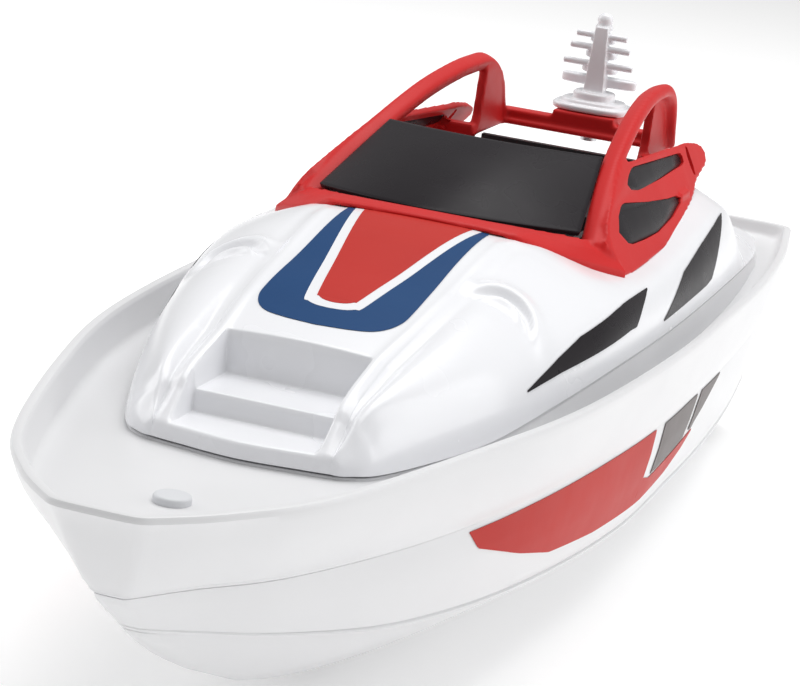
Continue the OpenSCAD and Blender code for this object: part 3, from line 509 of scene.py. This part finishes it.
bottom_rings = [
    inset(chine, 6, 4), inset(chine, WALL + 0.5, 1.6), inset(knuckle, WALL + 2.6, -2),
    inset(knuckle, WALL + 2.8, 3.5), inset(knuckle, WALL + 1.2, 3.5),
    inset(knuckle, WALL + 1.2, -0.15), inset(knuckle, 1.25, -0.1), inset(knuckle, 0.95, -0.35),
    *[hull_side(s) for s in (0.08, 0.25, 0.45, 0.65, 0.82, 0.93)],
    inset(chine, -0.05, 0.9), inset(chine, -0.35, 0.55), inset(chine, -0.4, 0.2),
    inset(chine, -0.1, -0.1), inset(chine, 0.5, -0.45),
    *[hull_under(s) for s in (0.15, 0.35, 0.55, 0.75, 0.9)], keel, inset(keel, 0.5)]
# The hollow inside is pressed together aft of its end, so that it stays clear of the wells.
HOLLOW_END, PRESS = 100, 0.41
for ring in bottom_rings[:3]:
    ring[:, 1] -= np.maximum(ring[:, 1] - HOLLOW_END, 0) * PRESS
hull = piece("hull_bottom_smooth", ring_solid(bottom_rings), "hull", "hull_white",
             ["hull_bottom"])
print("hull bottom:", len(hull.data.polygons), "faces")

# %% The seal between the two mouldings
hoop = [inset(knuckle, d, z) for d, z in ((1.5, -0.1), (1.5, -0.7), (2.6, -0.7), (2.6, -0.1),
                                          (1.5, -0.1))]
hoop = np.array([np.vstack([h, h[-2:0:-1] * [-1, 1, 1]]) for h in hoop])
piece("deck_seal_smooth", (hoop.reshape(-1, 3), squares(*hoop.shape[:2], True)), "hull",
      "rubber_black", ["deck_seal"])

# %% Skegs, wells and the holes of the stern tubes
line_x, line_y, line_z, fall = 20.0, 157.0, 11.5, math.radians(6)
SKEG_HALF = 1.5
WELL_HALF, WELL_FRONT, WELL_TOP = 10.5, 146, 22.5
BORE, BORE_START, BORE_END = 2.4, -52, -1
skeg = np.array([[86, 8.5], [107, 0.4], [109, 0.02], [140.4, 0.02], [141.2, 0.4], [145, 8.5]])


def upright(outline, x0, x1):
    """A plate whose outline is given by y and z, between two values of x."""
    return tube_solid([np.column_stack([np.full(len(outline), x), outline]) for x in (x0, x1)])


def rod_solid(start, end, radius, sides=32):
    """A round rod: rings of radius times (cos, sin) square to its direction."""
    start, end = np.asarray(start, float), np.asarray(end, float)
    way = (end - start) / np.linalg.norm(end - start)
    side = np.cross(way, [0, 0, 1] if abs(way[2]) < 0.9 else [1, 0, 0])
    side /= np.linalg.norm(side)
    up = np.cross(side, way)
    turn = np.linspace(0, 2 * np.pi, sides, endpoint=False)[:, None]
    ring = radius * (np.cos(turn) * side + np.sin(turn) * up)
    return tube_solid([ring + start, ring + end])


def on_drive(distance, side):
    """The place at a distance along a drive line, aft of the propeller."""
    return [side * line_x, line_y + distance * math.cos(fall), line_z - distance * math.sin(fall)]


for s in (1, -1):
    carve(hull, upright(skeg, s * line_x - SKEG_HALF, s * line_x + SKEG_HALF), "UNION")
    carve(hull, box_solid((s * line_x - WELL_HALF, WELL_FRONT, -2),
                          (s * line_x + WELL_HALF, 200, WELL_TOP)))
    carve(hull, rod_solid(on_drive(BORE_START, s), on_drive(BORE_END, s), BORE))
print("hull bottom carved:", len(hull.data.polygons), "faces")

# %% [markdown]
# ## The cabin moulding
# The cabin is one thin shell: a long bonnet with a step pocket at its front, a crest down each
# side of the bonnet, round shoulders and an upright side. The bonnet is a height field over x
# and y, so that steps, crest and valley are simple formulas. Ribs fan out from its edge to the
# skirt on the deck.
# %% Lines of the cabin
# Points are x, y and z on the port side, from bow to stern. The ridge peaks under the brow.
BRIM = -23.6
shoulder_points = [[8.5, -110.5, 53], [17, -106.5, 56.5], [21.5, -98, 59.5], [28.5, -78, 62],
                   [33.5, -58, 64], [39, -24, 67.3], [40.5, 20, 67.5], [38.5, 84, 69.5],
                   [35, 106, 61], [30, 149, 54]]
ridge_points = [[8, -107, 55.5], [13, -101, 60], [15.5, -90, 63.3], [16.5, -74, 67.3],
                [17.2, -56, 71], [18.9, BRIM, 76.2], [28, 12, 70], [29.5, 82, 74],
                [24, 106, 64], [18, 146, 55.5]]
skirt_line, shoulder_line, ridge_line = (through(p, PER_GAP) for p in (
    skirt_points, shoulder_points, ridge_points))
CORE = 15.8
PLINTH = 50.4
OPEN_FROM, OPEN_TO = -4.4, 93.4
front_y = np.interp(CORE, skirt_line[:20, 0], skirt_line[:20, 1])


def at_y(line, y):
    """The x and z of a line where it passes the given y."""
    return np.interp(y, line[:, 1], line[:, 0]), np.interp(y, line[:, 1], line[:, 2])


def front_edge(x):
    """The y of the bonnet's curved front edge."""
    return np.interp(np.abs(x), skirt[:24, 0], skirt[:24, 1])


def core_half(y):
    """Half the width of the bonnet's height field."""
    return np.interp(y, [-86, -74, -56, -27, -4.4, 104, 146],
                     [CORE, 16.8, 17.6, 18.6, 21.9, 21.9, 15.5])


def crest_line(y):
    """The x of the raised crest on the bonnet's edge."""
    return np.interp(y, [-109, -86.5, -74, -56, -27], [14.3, 14.3, 15.5, 16.5, 17.6])


CREST_HIGH, CREST_WIDE = 0.5, 1.0
VALLEY_DEEP, VALLEY_WIDE, VALLEY_OUT = 0.6, 1.5, 2.9


def bell(off, width):
    """A bell curve: e to the power of minus the square of off / width."""
    return np.exp(-(off / width) ** 2)


def relief(x, y):
    """Crest and valley: a bell curve on the crest line less a wider one outside it."""
    off = np.abs(x) - crest_line(y)
    live = smooth_step(y, -112, -106) * (1 - smooth_step(y, -30, -24))
    live *= 1 - 0.55 * smooth_step(y, -88, -60)
    return live * (CREST_HIGH * bell(off, CREST_WIDE)
                   - VALLEY_DEEP * bell(off - VALLEY_OUT, VALLEY_WIDE))


def ridge_height(y):
    """Height of the bonnet's edge line."""
    tail = at_y(ridge_line, y)[1]
    return np.interp(y, [-111, -109.4, -107, -104], [52.6, 53.6, 55.3, 57.7]) * (y < -104) + tail * (
        y >= -104)


CROWN, TREAD, STEP_UP = 0.7, 53.2, 3.8
RISER, POCKET_SIDE, POCKET_BACK = (-101.2, -100.4), (12.5, 13.5), (-87.0, -86.0)


def bonnet(x, y):
    """The bonnet: edge height, a slight crown, relief, and two level treads in the pocket."""
    crown = CROWN * (1 - np.clip(np.abs(x) / core_half(y), 0, 1) ** 2)
    top = ridge_height(y) + crown + relief(x, y)
    tread = TREAD + STEP_UP * smooth_step(y, *RISER)
    inside = (1 - smooth_step(np.abs(x), *POCKET_SIDE)) * (1 - smooth_step(y, *POCKET_BACK))
    return top + (tread - top) * inside


# %% Rows and columns of the cabin's grid
climb_y = np.array([0, 0.1, 0.25, 0.45, 0.75, 1.15])
climb_z = np.array([0, 0.45, 0.75, 0.92, 0.99, 1.0])
row_y = np.r_[front_y + climb_y, np.linspace(-108.7, -101.6, 12), np.linspace(-101.3, -100.3, 6),
              np.linspace(-99.8, -87.6, 16), np.linspace(-87.1, -85.9, 7),
              np.linspace(-85.2, -64, 22), np.linspace(-63.4, -43, 50),
              np.linspace(-42, -27, 16), np.linspace(-26, OPEN_FROM, 20)[:-1],
              np.linspace(OPEN_FROM, OPEN_TO, 40), np.linspace(95, 146, 28)]
rise = np.r_[climb_z, np.ones(len(row_y) - len(climb_z))]
column_x = np.r_[np.linspace(0, 11.6, 14), np.linspace(12.2, 13.7, 9), np.linspace(14, CORE, 7)]
column_x = np.r_[-column_x[:0:-1], column_x] / CORE
half = core_half(row_y)
core_x = half[:, None] * column_x
bend = 1 - smooth_step(row_y, -109.5, -101.8)
core_y = row_y[:, None] + bend[:, None] * (front_edge(core_x) - front_edge(CORE))
core_z = PLINTH + rise[:, None] * (bonnet(core_x, core_y) - PLINTH)
core = np.stack([core_x, core_y, core_z], -1)
print("bonnet grid", core.shape[:2])

# %% Ribs from the bonnet's edge to the skirt
RIB = 61
lag = np.interp(row_y, [front_y, -108, -104, -100.8, -96, -90, -86.5, -80],
                [0, -1.3, -2.3, -2.4, -2.0, -1.5, -1.0, 0])
lag = lag + np.interp(row_y, [106, 146], [0, 6])
edge = core[:, -1]
skirt_x, skirt_z = at_y(skirt_line, row_y + lag)
shoulder_x, shoulder_z = at_y(shoulder_line, row_y + 0.6 * lag)
shoulder_x = np.maximum(shoulder_x, edge[:, 0] + 0.42 * (skirt_x - edge[:, 0]))
shoulder_z = PLINTH + rise * (np.minimum(shoulder_z, edge[:, 2] - 0.3) - PLINTH)
ridge_x, ridge_z = at_y(ridge_line, row_y)
free = np.clip((ridge_x - edge[:, 0]) / 3, 0, 1)
near_x = edge[:, 0] + 0.2 * (shoulder_x - edge[:, 0])
near_z = edge[:, 2] + 0.12 * (shoulder_z - edge[:, 2])
corner = np.stack([near_x + free * (ridge_x - near_x), row_y + 0.1 * lag,
                   near_z + free * (ridge_z - near_z)], -1)
knots = np.stack([edge, corner, np.stack([shoulder_x, row_y + 0.6 * lag, shoulder_z], -1),
                  np.stack([skirt_x, row_y + lag, skirt_z], -1)], 1)
share = np.linspace(0, 3, RIB)
index = np.minimum(share.astype(int), 2)
part = (share - index)[None, :, None]
ribs = knots[:, index] * (1 - part) + knots[:, index + 1] * part
swell = 4 * part[..., 0] * (1 - part[..., 0]) * rise[:, None]
roundness = np.interp(row_y, [-112, -100, -60, -30, -10, 146], [0.2, 1.6, 2.0, 1.0, 0.1, 0.1])
ribs[..., 2] += swell * roundness[:, None] * (index == 1)
ribs[..., 0] += swell * 0.9 * (index == 2)
SOFTENING = 9
for _ in range(SOFTENING):
    ribs[:, 1:-1] = 0.5 * ribs[:, 1:-1] + 0.25 * (ribs[:, 2:] + ribs[:, :-2])
ribs[..., 2] += relief(ribs[..., 0], ribs[..., 1]) * (np.arange(RIB) > 0) * rise[:, None]


HOOD = (25.8, -55.0)


def hood(x, y, radius, fade, high, hollow):
    """A small hood open to the bow: across its radius it is a bell curve, narrow in front and
    wide behind, less a hollow in front of it, and along its angle it fades out at the ends."""
    dx, dy = np.abs(x) - HOOD[0], y - HOOD[1]
    angle = np.arctan2(0.97 * dx - 0.25 * dy, 0.25 * dx + 0.97 * dy)
    off = np.hypot(dx, dy) - radius
    lip = high * bell(off, np.where(off < 0, 0.8, fade))
    return (lip - hollow * bell(off + 1.9, 1.1)) * np.exp(-(angle / 1.35) ** 6)


for radius, fade, high, hollow in ((7.2, 3.0, 1.3, 0.8), (3.9, 1.0, 0.8, 0.3)):
    ribs[..., 2] += hood(ribs[..., 0], ribs[..., 1], radius, fade, high, hollow)
print("rib grid", ribs.shape[:2])


# %% The shell
STERN_FOOT = 51
CABIN_WALL = 1.3


def stern_wall(grid):
    """Four more rows after a grid's last: a rounded edge, then the upright face at the stern."""
    last = grid[-1]
    fall = last[:, 2] - STERN_FOOT
    rows = [np.column_stack([last[:, 0], last[:, 1] + shift, STERN_FOOT + fall * left])
            for shift, left in ((0.5, 0.97), (0.9, 0.88), (1.4, 0.5), (1.8, 0.0))]
    return np.concatenate([grid, np.array(rows)])


core_full, ribs_full = stern_wall(core), stern_wall(ribs)
core_faces = np.array(squares(*core_full.shape[:2]))
middle = core_full.reshape(-1, 3)[core_faces].mean(1)
open_top = (middle[:, 1] > OPEN_FROM) & (middle[:, 1] < OPEN_TO)
side_faces = squares(*ribs_full.shape[:2])
shell = gather((core_full.reshape(-1, 3), core_faces[~open_top].tolist()),
               mirrored((ribs_full.reshape(-1, 3), side_faces)))
cabin = piece("cabin_shell_smooth", shell, "cabin", "cabin_white", ["cabin_shell"], crease=48)
skin = cabin.modifiers.new("wall", "SOLIDIFY")
skin.thickness = CABIN_WALL * MM
skin.offset = -1
settle(cabin, 48)
print("cabin shell:", len(cabin.data.polygons), "faces")

# %% [markdown]
# ## Stickers and dark windows
# The stickers are cut vinyl, a tenth of a millimetre thick, and the windows are printed dark
# panels. Each is a grid between two edges, laid on the surface below it with a shrinkwrap and
# then given its thickness, so it follows every curve.
# %% Laying a thin sheet on a surface
def band(rows, count=40, across=14):
    """A grid between an upper and a lower edge, from rows of y, upper z and lower z."""
    line = along(rows, count * 3)
    share = np.linspace(0, 1, across)[None, :]
    y = np.repeat(line[:, :1], across, 1)
    z = line[:, 1:2] * (1 - share) + line[:, 2:3] * share
    return y, z


def tongue(half_outline, across=24, count=70):
    """A grid as wide as an outline that is given by half widths and y."""
    line = along(through(half_outline, 8), count)
    share = np.linspace(-1, 1, across)[None, :]
    return line[:, :1] * share, np.repeat(line[:, 1:], across, 1)


SIDE_VINYL, BONNET_VINYL = 0.1, 0.08
FIRST_GAP, SECOND_GAP = 0.12, 0.14


def lay_on(item, target, gap, thick=SIDE_VINYL):
    """Moves a sheet onto the target at a small gap, then thickens it."""
    wrap = item.modifiers.new("lay", "SHRINKWRAP")
    wrap.target = target
    wrap.wrap_method = "NEAREST_SURFACEPOINT"
    wrap.wrap_mode = "ABOVE_SURFACE"
    wrap.offset = gap * MM
    settle(item)
    body = item.modifiers.new("thickness", "SOLIDIFY")
    body.thickness = thick * MM
    body.offset = 0
    settle(item)
    return item


def side_sheet(name, tables, side_x, slot, body, target, replaced=(),
               gap=FIRST_GAP):
    """Sheets on both sides of the boat, from tables of y, upper z and lower z."""
    sheets = []
    for rows in tables:
        y, z = band(rows)
        sheets.append((np.stack([side_x(y, z), y, z], -1).reshape(-1, 3), squares(*y.shape)))
    item = piece(name, mirrored(gather(*sheets)), body, slot, replaced)
    return lay_on(item, target, gap)


def hull_x(y, z):
    """Where the hull's side is, at a height between the ledge and the chine."""
    top_x, top_z = at_y(LEDGE, y)
    low_x, low_z = at_y(chine, y)
    share = np.clip((top_z - z) / (top_z - low_z), 0, 1)
    return top_x + (low_x - top_x) * share + 3 * share * (1 - share)


def cabin_x(y, z):
    """Where the cabin's side is, at a height between the shoulder and the skirt."""
    top_x, top_z = at_y(shoulder_line, y)
    low_x, low_z = at_y(skirt_line, y)
    share = np.clip((top_z - z) / (top_z - low_z), 0, 1)
    return top_x + (low_x - top_x) * share + 0.8


# %% Hull stickers and cabin windows
# A row is y, the upper edge's z and the lower edge's z.
red_rows = [[-88, 38.7, 38.4], [-84.3, 38.7, 35], [-66, 38.7, 29.8], [-50.3, 38.6, 26.1],
            [-25, 38.5, 23.6], [1.3, 38.3, 22.4], [1.4, 38.3, 28.6], [3.6, 38.2, 37.8]]
strip_rows = [[1.3, 28.6, 22.4], [7.5, 27.1, 22.2], [26.6, 27.8, 23.3], [40, 28.3, 25.6],
              [46, 28.6, 28.2]]
grey_rows = [[7.8, 28.2, 27.9], [10.9, 37.9, 28], [36.2, 37.5, 28.6], [42.3, 37.3, 37]]
sliver_rows = [[41.4, 29.8, 29.4], [44.4, 34.6, 29.1], [46.8, 37.2, 30.2], [67, 36.9, 36.6]]
front_rows = [[-62.9, 58.3, 58], [-49.8, 62, 59.4], [-39.8, 64.4, 60.1], [-16.4, 67, 61.6],
              [-12.2, 67.2, 61.6], [-6.3, 67.3, 64.3], [0.6, 67.3, 67]]
rear_rows = [[8, 59.5, 59.2], [30, 65.3, 59.4], [47.7, 67.4, 59.5], [53.6, 68, 59.9],
             [80, 70.4, 70]]
side_sheet("red_hull_vinyl", [red_rows, strip_rows], hull_x, "sticker_red", "hull", hull,
           ["red_hull_stickers"])
side_sheet("grey_hull_vinyl", [grey_rows, sliver_rows], hull_x, "sticker_grey", "hull", hull,
           ["grey_hull_stickers"], SECOND_GAP)
side_sheet("front_windows_dark", [front_rows], cabin_x, "window_black", "cabin", cabin,
           ["front_cabin_windows"])
side_sheet("rear_windows_dark", [rear_rows], cabin_x, "window_black", "cabin", cabin,
           ["rear_cabin_windows"])

# %% Bonnet stickers
# A point is half the width and y. Each sheet lies a little higher than the one below it.
VINYL_END = -24.6
red_tongue = [[10.9, VINYL_END], [7.5, -46], [4.1, -67], [3.4, -69], [2, -70.2], [0.3, -70.6]]
gap_tongue = [[12.7, VINYL_END], [9.4, -46], [5.8, -69], [4.6, -71.4], [2.6, -72.6], [0.3, -72.9]]
blue_tongue = [[14.2, VINYL_END], [13.8, -46], [13.9, -66], [13.2, -73], [10.5, -77.3], [6, -79],
               [0.3, -79.7]]
for name, outline, slot, height, replaced in (
        ("blue_bonnet_vinyl", blue_tongue, "sticker_blue", 0.10, ["blue_bonnet_sticker"]),
        ("white_bonnet_vinyl", gap_tongue, "cabin_white", 0.16, []),
        ("red_bonnet_vinyl", red_tongue, "sticker_red", 0.22, ["red_bonnet_sticker"])):
    x, y = tongue(outline)
    sheet = np.stack([x, y, bonnet(x, y) + height], -1)
    vinyl = piece(name, (sheet.reshape(-1, 3), squares(*x.shape)), "cabin", slot, replaced)
    lay_on(vinyl, cabin, height, BONNET_VINYL)
print("stickers laid")

# %% [markdown]
# ## The red canopy
# One red moulding holds the windscreen: a brow round the glass, a side panel with two windows
# on each side, and two roll bars that a crossbar joins at the back. Each bar ends in a wide
# leg, and a small cheek ties the leg's foot to the side panel. Each member is a solid along a
# path. Booleans could join them, but leave hard corners, so a fine remesh makes them one body
# with soft, moulded edges.
# %% Side panels in their leaning plane
FOOT = np.array([37, -2.5, 68.9])
LEAN = np.array([1.0, 0.035, 0.55])
LEAN /= np.linalg.norm(LEAN)
FOLD, FOLD_IN = 34, 0.05
PANEL_HALF = 0.9
side_outline = [[1.3, 67.9], [18.3, 68.1], [34.6, 68.5], [50.7, 68.9], [54.7, 69.4], [57.1, 70.5],
                [64.2, 71.3], [72.4, 72.3], [77.8, 73.4], [82.5, 74.7], [90.4, 75.5], [99, 76.2],
                [101.8, 78.2], [100.8, 79.8], [95, 81.2], [85, 82.4], [81.1, 82.5], [58.5, 83.9],
                [43, 84.8], [29.7, 85.4], [24.7, 86], [14.7, 83.3], [7.4, 80.7], [-0.9, 77.4],
                [-3.2, 75.1], [-2.4, 71], [-1, 68.1]]
upper_pane = [[22.6, 81.9], [24.2, 83], [28.6, 84.2], [32, 84.3], [51.4, 83], [75.8, 81.4],
              [77.2, 80.9], [76.8, 79.4], [74, 79.1], [51.1, 79.4], [30.8, 80], [25, 80.7]]
lower_pane = [[5.0, 75.3], [8.4, 77.6], [13.6, 79.2], [17, 79.3], [33.5, 77.4], [52.2, 75.4],
              [59.4, 74.9], [61.9, 74.2], [61.2, 73.2], [49.5, 72], [33.1, 71.5], [21.8, 71.7],
              [11.5, 72.2], [8.5, 72.8]]
wing_slot = [[83.2, 81.9], [84.8, 81.4], [84.6, 79], [84.4, 77.4], [83.4, 75.8], [82, 76.1],
             [81.4, 77.5], [81.6, 80]]


def on_panel(outline, out):
    """Points of the leaning side plane at given y and z, moved out along its normal. Forward of
    the fold the plane turns in towards the pillar."""
    o = np.asarray(outline, float)
    x = FOOT[0] - 0.55 * (o[:, 1] - FOOT[2]) - 0.035 * (o[:, 0] - FOOT[1])
    x -= FOLD_IN * np.maximum(FOLD - o[:, 0], 0)
    return np.column_stack([x, o]) + out * LEAN


def panel_solid(outline, low, high, grow=0.0):
    """A plate in the side plane between two offsets, with its outline grown about its middle."""
    o = np.asarray(outline, float)
    o = along(np.vstack([o, o[:1]]), 81)[:-1]
    centre = o.mean(0)
    reach = np.linalg.norm(o - centre, axis=1)[:, None]
    o = centre + (o - centre) * (1 + grow / reach)
    return tube_solid([on_panel(o, low), on_panel(o, high)])


def tube_along(path, wide, high, power, per_gap=8, sides=24):
    """A bar with a super-elliptic section: cos and sin raised to 2 / power, along a path."""
    p = through(path, per_gap)
    way = np.gradient(p, axis=0)
    way /= np.linalg.norm(way, axis=1)[:, None]
    across = np.cross(way, np.cross([1.0, 0.1, 0.4], way))
    across /= np.linalg.norm(across, axis=1)[:, None]
    up = np.cross(across, way)
    turn = np.linspace(0, 2 * np.pi, sides, endpoint=False)
    c, s = (np.sign(f) * np.abs(f) ** (2 / power) for f in (np.cos(turn), np.sin(turn)))
    return tube_solid(p[:, None] + wide * c[:, None] * across[:, None]
                      + high * s[:, None] * up[:, None])


# %% Brow, roll bars and crossbar
# A row of the brow is its lower front edge (x, y, z) and then the edge beside the glass.
brow_points = [(36.9, -2.2, 69, 29, -3.5, 74.5), (30, -12, 71.6, 27.2, -6.5, 75.2),
               (23.5, -19.5, 74.1, 22, -10.2, 75.9), (18, -24, 76.4, 17.6, -14.4, 76.6),
               (9, -24.8, 76.9, 9, -17.6, 77.2), (0, -25.2, 77, 0, -18.9, 77.5)]
flip = np.array([-1, 1, 1, -1, 1, 1])
brow_points = through(np.vstack([brow_points, np.array(brow_points)[-2::-1] * flip]), 12)
ox, oy, oz, gx, gy, gz = brow_points.T
# The front lip hangs lower beside the bonnet than over it.
notch = smooth_step(np.abs(ox), 17.7, 18.9)
drop = 0.1 + 2.6 * notch - 1.7 * smooth_step(np.abs(ox), 24, 36)
brow_tracks = [(gx, gy, np.minimum(gz, oz) - 0.1), (gx, gy, gz + 0.5),
               ((gx + ox) / 2, (gy + oy) / 2, (gz + oz) / 2 + 1.1),
               (0.99 * ox, oy + 0.8, oz + 0.9 + 0.3 * notch), (ox, oy + 0.1, oz + 0.5 + 0.2 * notch),
               (ox, oy - 0.3 * notch, oz - drop), (0.99 * ox, oy + 1.2, oz - drop)]
brow_solid = tube_solid(np.stack([np.stack(t, -1) for t in brow_tracks], 1))
bar_path = [[29.4, -4.5, 73.2], [27.2, 9, 79.9], [25, 24, 85.3], [23, 44, 90.5],
            [21.6, 61, 93.1], [21, 73, 93.8], [20.9, 82.5, 93.5], [20.8, 89.5, 91.2],
            [20.6, 93.5, 87.2], [20.4, 96, 83], [20.2, 98.5, 79.4]]
web_outline = [[75, 77.6], [100.2, 77.6], [98.2, 83], [95.6, 87.6], [92, 90.8], [84, 92.6],
               [78.4, 92.6], [78, 88], [77.4, 82], [76.4, 79.6]]
gusset_inner = np.array([[31, -4.8, 70.5], [29.2, -3.6, 74], [27.4, 8, 80.2], [25.4, 22, 85]])
gusset_outer = on_panel([[-1.5, 69.5], [-3.2, 75], [7.4, 80.3], [22, 85.3]], 0)
depth = np.array([-0.9, 1.5, -0.6])
gusset = tube_solid(np.stack([gusset_inner - depth / 2, gusset_outer - depth / 2,
                              gusset_outer + depth / 2, gusset_inner + depth / 2], 1))
BAR_WIDE, BAR_HIGH = 2.1, 1.6
members = gather(
    mirrored(gather(
        panel_solid(side_outline, -PANEL_HALF, PANEL_HALF),
        tube_along(bar_path, BAR_WIDE, BAR_HIGH, power=3.2),
        gusset, upright(web_outline, 18.6, 20.6),
        box_solid((23, 20, 71.6), (29.6, 70, 74.4)), box_solid((23, 62, 71.6), (33, 70, 75.2)),
        box_solid((19.5, 75, 75.8), (28.8, 78.6, 79.8)))),
    brow_solid, box_solid((-19.8, 98, 78.4), (19.8, 102.5, 81.4)),
    box_solid((-19.6, 97.2, 77.8), (19.6, 103.2, 79)), box_solid((-7.3, 98, 77.8), (7.3, 113, 83)))
canopy = piece("canopy_frame_smooth", members, "cabin", "canopy_red", ["canopy_frame"])
print("canopy members:", len(canopy.data.polygons), "faces")

# %% One moulded body
VOXEL, FINE_VOXEL = 0.42 * MM, 0.22 * MM
THROUGH = 3


def fuse(item, voxel, rounds, crease):
    """Remeshes overlapping solids as one, then relaxes the surface to soften every edge."""
    step = item.modifiers.new("fuse", "REMESH")
    step.mode = "VOXEL"
    step.voxel_size = voxel
    relax = item.modifiers.new("relax", "SMOOTH")
    relax.factor = 0.5
    relax.iterations = rounds
    settle(item, crease)


fuse(canopy, VOXEL, 4, 60)
for outline in (upper_pane, lower_pane, wing_slot):
    carve(canopy, mirrored(panel_solid(outline, -THROUGH, THROUGH)), crease=40)
print("canopy:", len(canopy.data.polygons), "faces")


# %% [markdown]
# ## The glass
# The windscreen is a curved, smoked pane whose ends meet the roll bars. The side windows
# are flat panes that sit a little below the red frame round them. A real screen is a sheet bent
# one way, so straight lines between two arcs describe it, and modifiers give it wall and edge.
# %% Windscreen
GLASS_SWELL, GLASS_WALL = 2, 1.2
PANE_BACK, PANE_FRONT, PANE_GAP = -0.75, 0.3, 0.05


def windscreen_grid(across=61, up=31):
    """A ruled surface from the low arc to the high arc, with a small outward swell of t times
    (1 - t) times the glass swell."""
    u, t = np.meshgrid(np.linspace(-1, 1, across), np.linspace(0, 1, up))
    low = np.stack([27 * u, -18.6 + 13.6 * u**2, 77.5 - 1.6 * u**2], -1)
    high = np.stack([22.9 * u, 15 + 8.5 * u**2, 87.3 - 0.9 * u**2], -1)
    grid = low + (high - low) * t[..., None]
    grid[..., 2] += GLASS_SWELL * t * (1 - t) * (1 - u**2)
    return grid


pane = windscreen_grid()
glass = piece("windscreen_smoked", (pane.reshape(-1, 3), squares(*pane.shape[:2])), "cabin",
              "window_black", ["windscreen"])
glass_wall = glass.modifiers.new("wall", "SOLIDIFY")
glass_wall.thickness = GLASS_WALL * MM
glass_wall.offset = 0
rounded = glass.modifiers.new("rounded", "BEVEL")
rounded.width = 0.3 * MM
rounded.segments = 2
settle(glass)

# %% Side windows
for name, outline, old in (("upper_windows_smoked", upper_pane, "upper_side_windows"),
                           ("lower_windows_smoked", lower_pane, "lower_side_windows")):
    window = piece(name, mirrored(panel_solid(outline, PANE_BACK, PANE_FRONT, -PANE_GAP)),
                   "cabin", "window_black", [old])
    rounded = window.modifiers.new("rounded", "BEVEL")
    rounded.width = 0.2 * MM
    rounded.segments = 2
    settle(window)
print("windows made")

# %% [markdown]
# ## The mast
# The mast is a small white tray on a turned pin. It carries a stack of stepped plates, three
# pairs of thin rods for aerials, and a ball at the top. The parts are so small that the mould
# rounds all of them, so they are fused as the canopy was, with a finer grain.
# %% Mast
MAST = np.array([0, 107, 83.15])


def lofted_plate(half_x, y0, y1, z0, z1, power=2.6, sides=48, rounding=0.35):
    """A plate with a super-elliptic outline and edges rounded by three insets."""
    turn = np.linspace(0, 2 * np.pi, sides, endpoint=False)
    c, s = (np.sign(f) * np.abs(f) ** (2 / power) for f in (np.cos(turn), np.sin(turn)))
    middle, half_y = (y0 + y1) / 2, (y1 - y0) / 2
    rows = [(z0, rounding), (z0 + rounding, 0), (z1 - rounding, 0), (z1, rounding)]
    return tube_solid([np.column_stack([(half_x - d) * c, middle + (half_y - d) * s,
                                        np.full(sides, z)]) for z, d in rows])


def turned(profile, sides=48):
    """A solid of revolution from radii and heights."""
    turn = np.linspace(0, 2 * np.pi, sides, endpoint=False)
    return tube_solid([np.column_stack([r * np.cos(turn), r * np.sin(turn), np.full(sides, z)])
                       for r, z in profile])


BALL, BALL_HEIGHT = 1.85, 20.9
lat = np.linspace(-np.pi / 2, np.pi / 2, 15)[1:-1]
ball = np.column_stack([BALL * np.cos(lat), BALL_HEIGHT + BALL * np.sin(lat)])
web_shape = np.array([[2.6, 0], [2.2, 8], [1.7, 15], [1.5, 19.5]])
mast_solids = [
    lofted_plate(9, -8.5, 7.5, 0, 1.5, 3.2), lofted_plate(7.4, -6.6, 6, 1.2, 2.4, 3),
    lofted_plate(4.8, -5.4, 4.4, 2.2, 4.3, 2.6),
    tube_solid([[[w, -2.6, z], [w, 1.2, z], [-w, 1.2, z], [-w, -2.6, z]] for w, z in web_shape]),
    lofted_plate(9, 0.2, 4.8, 5.4, 7.6), lofted_plate(4.2, -1.5, 4.6, 8.6, 10),
    lofted_plate(3.7, -1.5, 4.0, 12, 13.6), lofted_plate(3, -1.5, 3.4, 15.6, 16.9),
    turned([(1.2, 16), (1.4, 18.6), (2.1, 18.9), (2.1, 19.6), (1.2, 19.9)]), turned(ball),
    turned([(1.45, -5.6), (1.45, 1)])]
AERIAL = 0.75
for height, half_span in ((10.7, 8.3), (14.5, 7.1), (17.4, 6)):
    mast_solids.append(rod_solid((-half_span, -1, height), (half_span, -1, height), AERIAL))
points, faces = gather(*mast_solids)
mast = piece("mast_smooth", (points + MAST, faces), "mast", "cabin_white", ["mast"])
fuse(mast, FINE_VOXEL, 2, 50)
print("mast:", len(mast.data.polygons), "faces")

# %% [markdown]
# ## The plug on the foredeck
# A small grey plug hides a screw in the foredeck. It is turned: a flat top with a rounded edge.
# The engineering model's own box gives its size, so the two cannot drift apart.
# %% Foredeck plug
plug_place = np.array([0, -139, 0])
PLUG_EDGE = 0.5
low, high = (np.array(v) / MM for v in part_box("foredeck_plug"))
radius = (high[0] - low[0]) / 2
rim_turn = np.linspace(0, np.pi / 2, 6)
plug_profile = [(radius * 0.98, low[2]), (radius, low[2] + 0.2)]
plug_profile += [(radius - PLUG_EDGE + PLUG_EDGE * math.cos(a),
                  high[2] - PLUG_EDGE + PLUG_EDGE * math.sin(a)) for a in rim_turn]
plug_profile += [(radius - 1.1, high[2] - 0.02), (0.4, high[2])]
points, faces = turned(plug_profile)
piece("foredeck_plug_smooth", (points + plug_place, faces), "hull", "plug_grey",
      ["foredeck_plug"])
print("plug radius", round(radius, 2), "mm")
